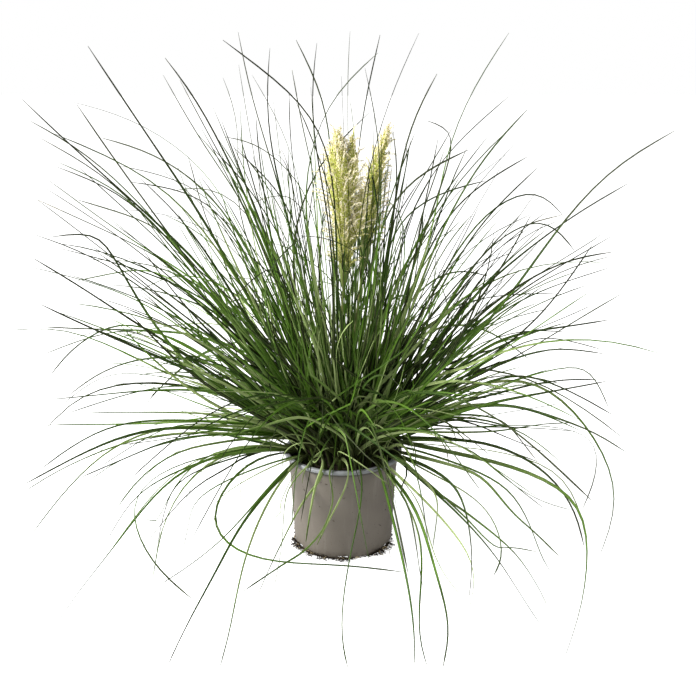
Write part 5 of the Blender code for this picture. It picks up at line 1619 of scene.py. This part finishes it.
# Painted shade darkens the tips from about four fifths of the length; the driest tips then turn to straw.
tip_shade_and_drying = along + 0.55 * dryness + 0.35 * (mottle - 0.5)
colour = (tip_shade_and_drying.between(0.78, 1.12) * 0.75).mixed(colour, LEAF_TIP_SHADE)
colour = tip_shade_and_drying.between(1.15, 1.40).mixed(colour, LEAF_STRAW)
Wire.plug(tree, shader.inputs["Base Color"], (0.05 * veins * (1.0 - midrib) + 0.03).mixed(colour, LEAF_RIB))
Wire.plug(tree, shader.inputs["Roughness"], 0.36 + 0.22 * mottle + 0.05 * veins)
Wire.plug(tree, shader.inputs["Normal"], bump(tree, 0.5 * veins + mottle, 0.35, 0.00025))

tree, guide, fold, thickness = new_tree("channelled_blades", "fold", "thickness")
line = Wire.node(tree, "GeometryNodeMeshToCurve", None, {"Mesh": guide})
values = {"Curve": line, "Normal": quality(tree, "face", "FLOAT_VECTOR")}
line = Wire.node(tree, "GeometryNodeSetCurveNormal", {"mode": "FREE"}, values)
is_tube = quality(tree, "tube").math("GREATER_THAN", 0.5)
values = {"Geometry": line, "Selection": is_tube}
tubes = Wire.node(tree, "GeometryNodeSeparateGeometry", {"domain": "CURVE"}, values)
blades = tubes.also(1)
section = Wire.node(tree, "GeometryNodeCurvePrimitiveCircle", None, {"Resolution": 8, "Radius": 1.0})
x, y, z = Wire.node(tree, "GeometryNodeInputPosition").split()
settings = {"data_type": "FLOAT", "domain": "POINT"}
values = {"Geometry": section, "Name": "across", "Value": x}
section = Wire.node(tree, "GeometryNodeStoreNamedAttribute", settings, values)
channel = x.math("ABSOLUTE") * fold + y * thickness
values = {"Geometry": section, "Position": Wire.node(tree, "ShaderNodeCombineXYZ", None, {0: x, 1: channel})}
section = Wire.node(tree, "GeometryNodeSetPosition", None, values)
round_section = Wire.node(tree, "GeometryNodeCurvePrimitiveCircle", None, {"Resolution": 10, "Radius": 1.0})
half_width = quality(tree, "half_width")
values = {"Curve": blades, "Profile Curve": section, "Scale": half_width, "Fill Caps": True}
blades = Wire.node(tree, "GeometryNodeCurveToMesh", None, values)
values = {"Curve": tubes, "Profile Curve": round_section, "Scale": half_width, "Fill Caps": True}
tubes = Wire.node(tree, "GeometryNodeCurveToMesh", None, values)
leafage = Wire.node(tree, "GeometryNodeJoinGeometry", None, {0: [blades, tubes]})
end_tree(tree, Wire.node(tree, "GeometryNodeSetShadeSmooth", None, {0: leafage}), leaf_finish)


def turns(rolls):
    """A blade's roll about its own line at its foot, and its twist from there to its tip."""
    return rolls.uniform(-ROLL, ROLL), rolls.uniform(-TWIST, TWIST)


def add_main_leaves(foliage, shoot, rolls):
    """The shoot's own leaves. Returns each one's curve, the length along it, and the leaf."""
    own = []
    for index, leaf in enumerate(shoot.leaves):
        curve, along = shoot.leaf_curve(shoot.leaves, index, shifts[shoot.number, index])
        path, shares = laid_out(curve, along)
        own.append((curve, along, leaf))
        tone = rolls.uniform(-0.2, 1.1) + lighter_by(leaf) - darker_by(leaf, shares)
        width = leaf.width
        # Arching leaves towards the front are narrowed, and painted darker as shade over the crown's front.
        if leaf.rule.func is arching_points and leaf.heading < 0:
            width *= ARCH_NARROWING
            tone -= ARCH_PAINTED_SHADE
        half_widths = blade_widths(shares, width)
        foliage.add(path, shares, half_widths, *turns(rolls), tone, rolls.uniform(0.0, 0.35))
    return own


def add_slender_leaves(foliage, shoot, leaves, rolls):
    """Thin leaves that stand in the shoot's sheath."""
    for index, leaf in enumerate(leaves):
        path, shares = laid_out(*shoot.leaf_curve(leaves, index))
        half_widths = blade_widths(shares, leaf.width)
        roll, twist = turns(rolls)
        tone = rolls.uniform(0.2, 1.1) + 1.5 * lighter_by(leaf) - darker_by(leaf, shares)
        foliage.add(path, shares, half_widths, roll, twist, tone, rolls.uniform(0.1, 0.5), SLENDER_LEAST)


def add_filler(foliage, own, weights, ring, rolls):
    """A shorter leaf near one of the shoot's own, left out where it would run into the pot."""
    curve, along, leaf = rolls.choices(own, weights)[0]
    reach = rolls.uniform(*FILLER_REACH)
    last = int(np.searchsorted(along, reach * along[-1]))
    lying = np.nonzero(curve[:last, 2] < FILLER_LEAST_HEIGHT)[0]
    last = max(min([last, *lying]), CURVE_STEPS)
    path, shares = laid_out(curve[:last], along[:last], FILLER_POINTS)
    wide, narrow = FILLER_SWING[ring]
    swing = rolls.gauss(0.0, 1.0) * (wide if rolls.random() < WIDE_SWING_SHARE else narrow)
    lean = rolls.gauss(0.0, FILLER_LEAN[ring])
    path = swung(path, shares, swing, lean, rolls.gauss(0.0, FILLER_BOW), rolls.gauss(0.0, FILLER_SAG))
    widths = SLENDER_WIDTHS if rolls.random() < SLENDER_SHARE else FILLER_WIDTHS[ring]
    half_widths = blade_widths(shares, rolls.uniform(*widths) * WIDTH_UNIT)
    in_front = path[-1, 1] < path[0, 1] + FRONT_MARGIN
    if clearance_to_pot(path[4:], half_widths[4:]) >= FILLER_CLEARANCE[in_front]:
        roll, twist = turns(rolls)
        tone = rolls.choice([rolls.uniform(*tones) for tones in FILLER_TONES])
        tone = tone + 0.6 * lighter_by(leaf) - darker_by(leaf, reach * shares)
        dryness = rolls.uniform(0.0, 0.4)
        foliage.add(path, reach * shares, half_widths, roll, twist, tone, dryness, SLENDER_LEAST)


def add_curl(foliage, shoot, rolls):
    """A dead leaf of the shoot, left out where it would touch the pot or the compost."""
    heading = math.atan2(shoot.foot[1], shoot.foot[0]) + rolls.uniform(-1.0, 1.0)
    path = curl_path(shoot.top, heading, rolls.uniform(*CURL_LENGTH), rolls)
    shares = np.linspace(0.0, 1.0, CURL_POINTS)
    half_widths = np.full(CURL_POINTS, rolls.uniform(*CURL_WIDTH) / 2 * WIDTH_UNIT)
    if path[:, 2].min() > FILLER_LEAST_HEIGHT and clearance_to_pot(path, half_widths) > CURL_CLEARANCE:
        twist = rolls.uniform(-2.0, 2.0)
        foliage.add(path, 0.3 + 0.5 * shares, half_widths, 0.0, twist, 1.1, 0.6, SLENDER_LEAST)


def add_sheath(foliage, shoot, rolls):
    """The shoot's sheath, sunk a little into the compost and closed round its leaves."""
    down = np.array((0.0, 0.0, SHEATH_SINK))
    stations = np.linspace(0.0, 1.0, 8)
    path = (shoot.foot - down) + stations[:, None] * (shoot.top + down - shoot.foot)
    radii = (SHEATH_RADIUS, SHEATH_TOP_RADIUS, SHEATH_END_RADIUS)
    radii = SHEATH_WRAP * np.interp(stations, (0.0, 0.8, 1.0), radii)
    # Counted as the first sixth of a blade's length, the sheath gets the painted shade of the blades' bases.
    foliage.add(path, stations * 0.16, radii, 0.0, 0.0, rolls.uniform(0.2, 0.7), 0.0, tube=1.0)


for shoot in shoots:
    rolls = random.Random(100 + shoot.number)
    ring = ring_of[shoot.number - 1]
    foliage = Foliage()
    own = add_main_leaves(foliage, shoot, rolls)
    add_slender_leaves(foliage, shoot, slender[shoot.number], rolls)
    weights = [LOW_LEAF_WEIGHT if curve[-1][2] < LOW_LEAF_HEIGHT else 1.0 for curve, along, leaf in own]
    for _ in range(FILLERS[ring]):
        add_filler(foliage, own, weights, ring, rolls)
    if ring > 1:
        add_curl(foliage, shoot, rolls)
    add_sheath(foliage, shoot, rolls)
    guide = strands("leaf_lines", foliage.paths, face=foliage.faces, **foliage.qualities)
    leafy = grown(f"leafy_shoot_{shoot.number:02d}", guide, tree, fold=BLADE_FOLD, thickness=BLADE_THICKNESS)
    fit_piece(leafy, "leaf_green", f"tiller_{shoot.number:02d}")


# The studio: a seamless white floor and soft light, mostly from the upper left. The camera stands 1.3 metres
# in front of the pot, 0.7 metres above the floor and tilted down at it.
FLOOR_WHITE = (0.55, 0.55, 0.55)
FLOOR_GLOW = 1.0
ROOM_LIGHT = (0.25, 0.25, 0.25)
ROOM_LIGHT_LEFT = (2.4, 2.37, 2.28)
SENSOR = 36.0
PICTURE_PIXELS = 696

floor = bmesh.new()
bmesh.ops.create_grid(floor, x_segments=8, y_segments=8, size=30.0)
studio_floor = linked("studio_floor", as_mesh("studio_floor", floor))
floor_finish, tree, shader = new_finish("white_paper", Specular_IOR_Level=0.1)
place = Wire.node(tree, "ShaderNodeTexCoord", output="Object")
paper = place.noise(3.0)
Wire.plug(tree, shader.inputs["Base Color"], paper.mixed(FLOOR_WHITE, (0.58, 0.58, 0.58)))
Wire.plug(tree, shader.inputs["Roughness"], 0.85 + 0.1 * paper)
to_camera = Wire.node(tree, "ShaderNodeLightPath", output="Is Camera Ray")
Wire.plug(tree, shader.inputs["Emission Color"], to_camera.mixed((0.0, 0.0, 0.0), (1.0, 1.0, 1.0)))
shader.inputs["Emission Strength"].default_value = FLOOR_GLOW
studio_floor.data.materials.append(floor_finish)
studio_floor.location.z = -0.0002

studio = bpy.data.worlds.new("studio")
bpy.context.scene.world = studio
studio.use_nodes = True
tree = studio.node_tree
air = tree.nodes["Background"]
sideways = Wire.node(tree, "ShaderNodeTexCoord", output="Generated").split()[0]
to_camera = Wire.node(tree, "ShaderNodeLightPath", output="Is Camera Ray")
colour = sideways.between(-0.3, -0.95).mixed(ROOM_LIGHT, ROOM_LIGHT_LEFT)
Wire.plug(tree, air.inputs["Color"], to_camera.mixed(colour, (1.0, 1.0, 1.0)))

for name, spot, aim, size, power in (
    ("key_light", (-2.7, -0.7, 2.0), (0.0, 0.0, 0.25), 0.9, 220.0),
    ("fill_light", (2.2, -1.6, 1.4), (0.0, 0.0, 0.25), 1.6, 42.0),
):
    lamp = bpy.data.lights.new(name, "AREA")
    lamp.size = size
    lamp.energy = power
    light = linked(name, lamp)
    light.location = spot
    light.rotation_euler = (Vector(spot) - Vector(aim)).to_track_quat("Z", "Y").to_euler()

lens = bpy.data.cameras.new("camera")
lens.sensor_width = SENSOR
lens.lens = SENSOR * FOCAL_PIXELS / PICTURE_PIXELS
lens.clip_start = 0.05
camera = linked("camera", lens)
camera.location = EYE
camera.rotation_euler = (math.pi / 2 - EYE_PITCH, 0.0, 0.0)
bpy.context.scene.camera = camera
bpy.context.scene.view_settings.view_transform = "Standard"
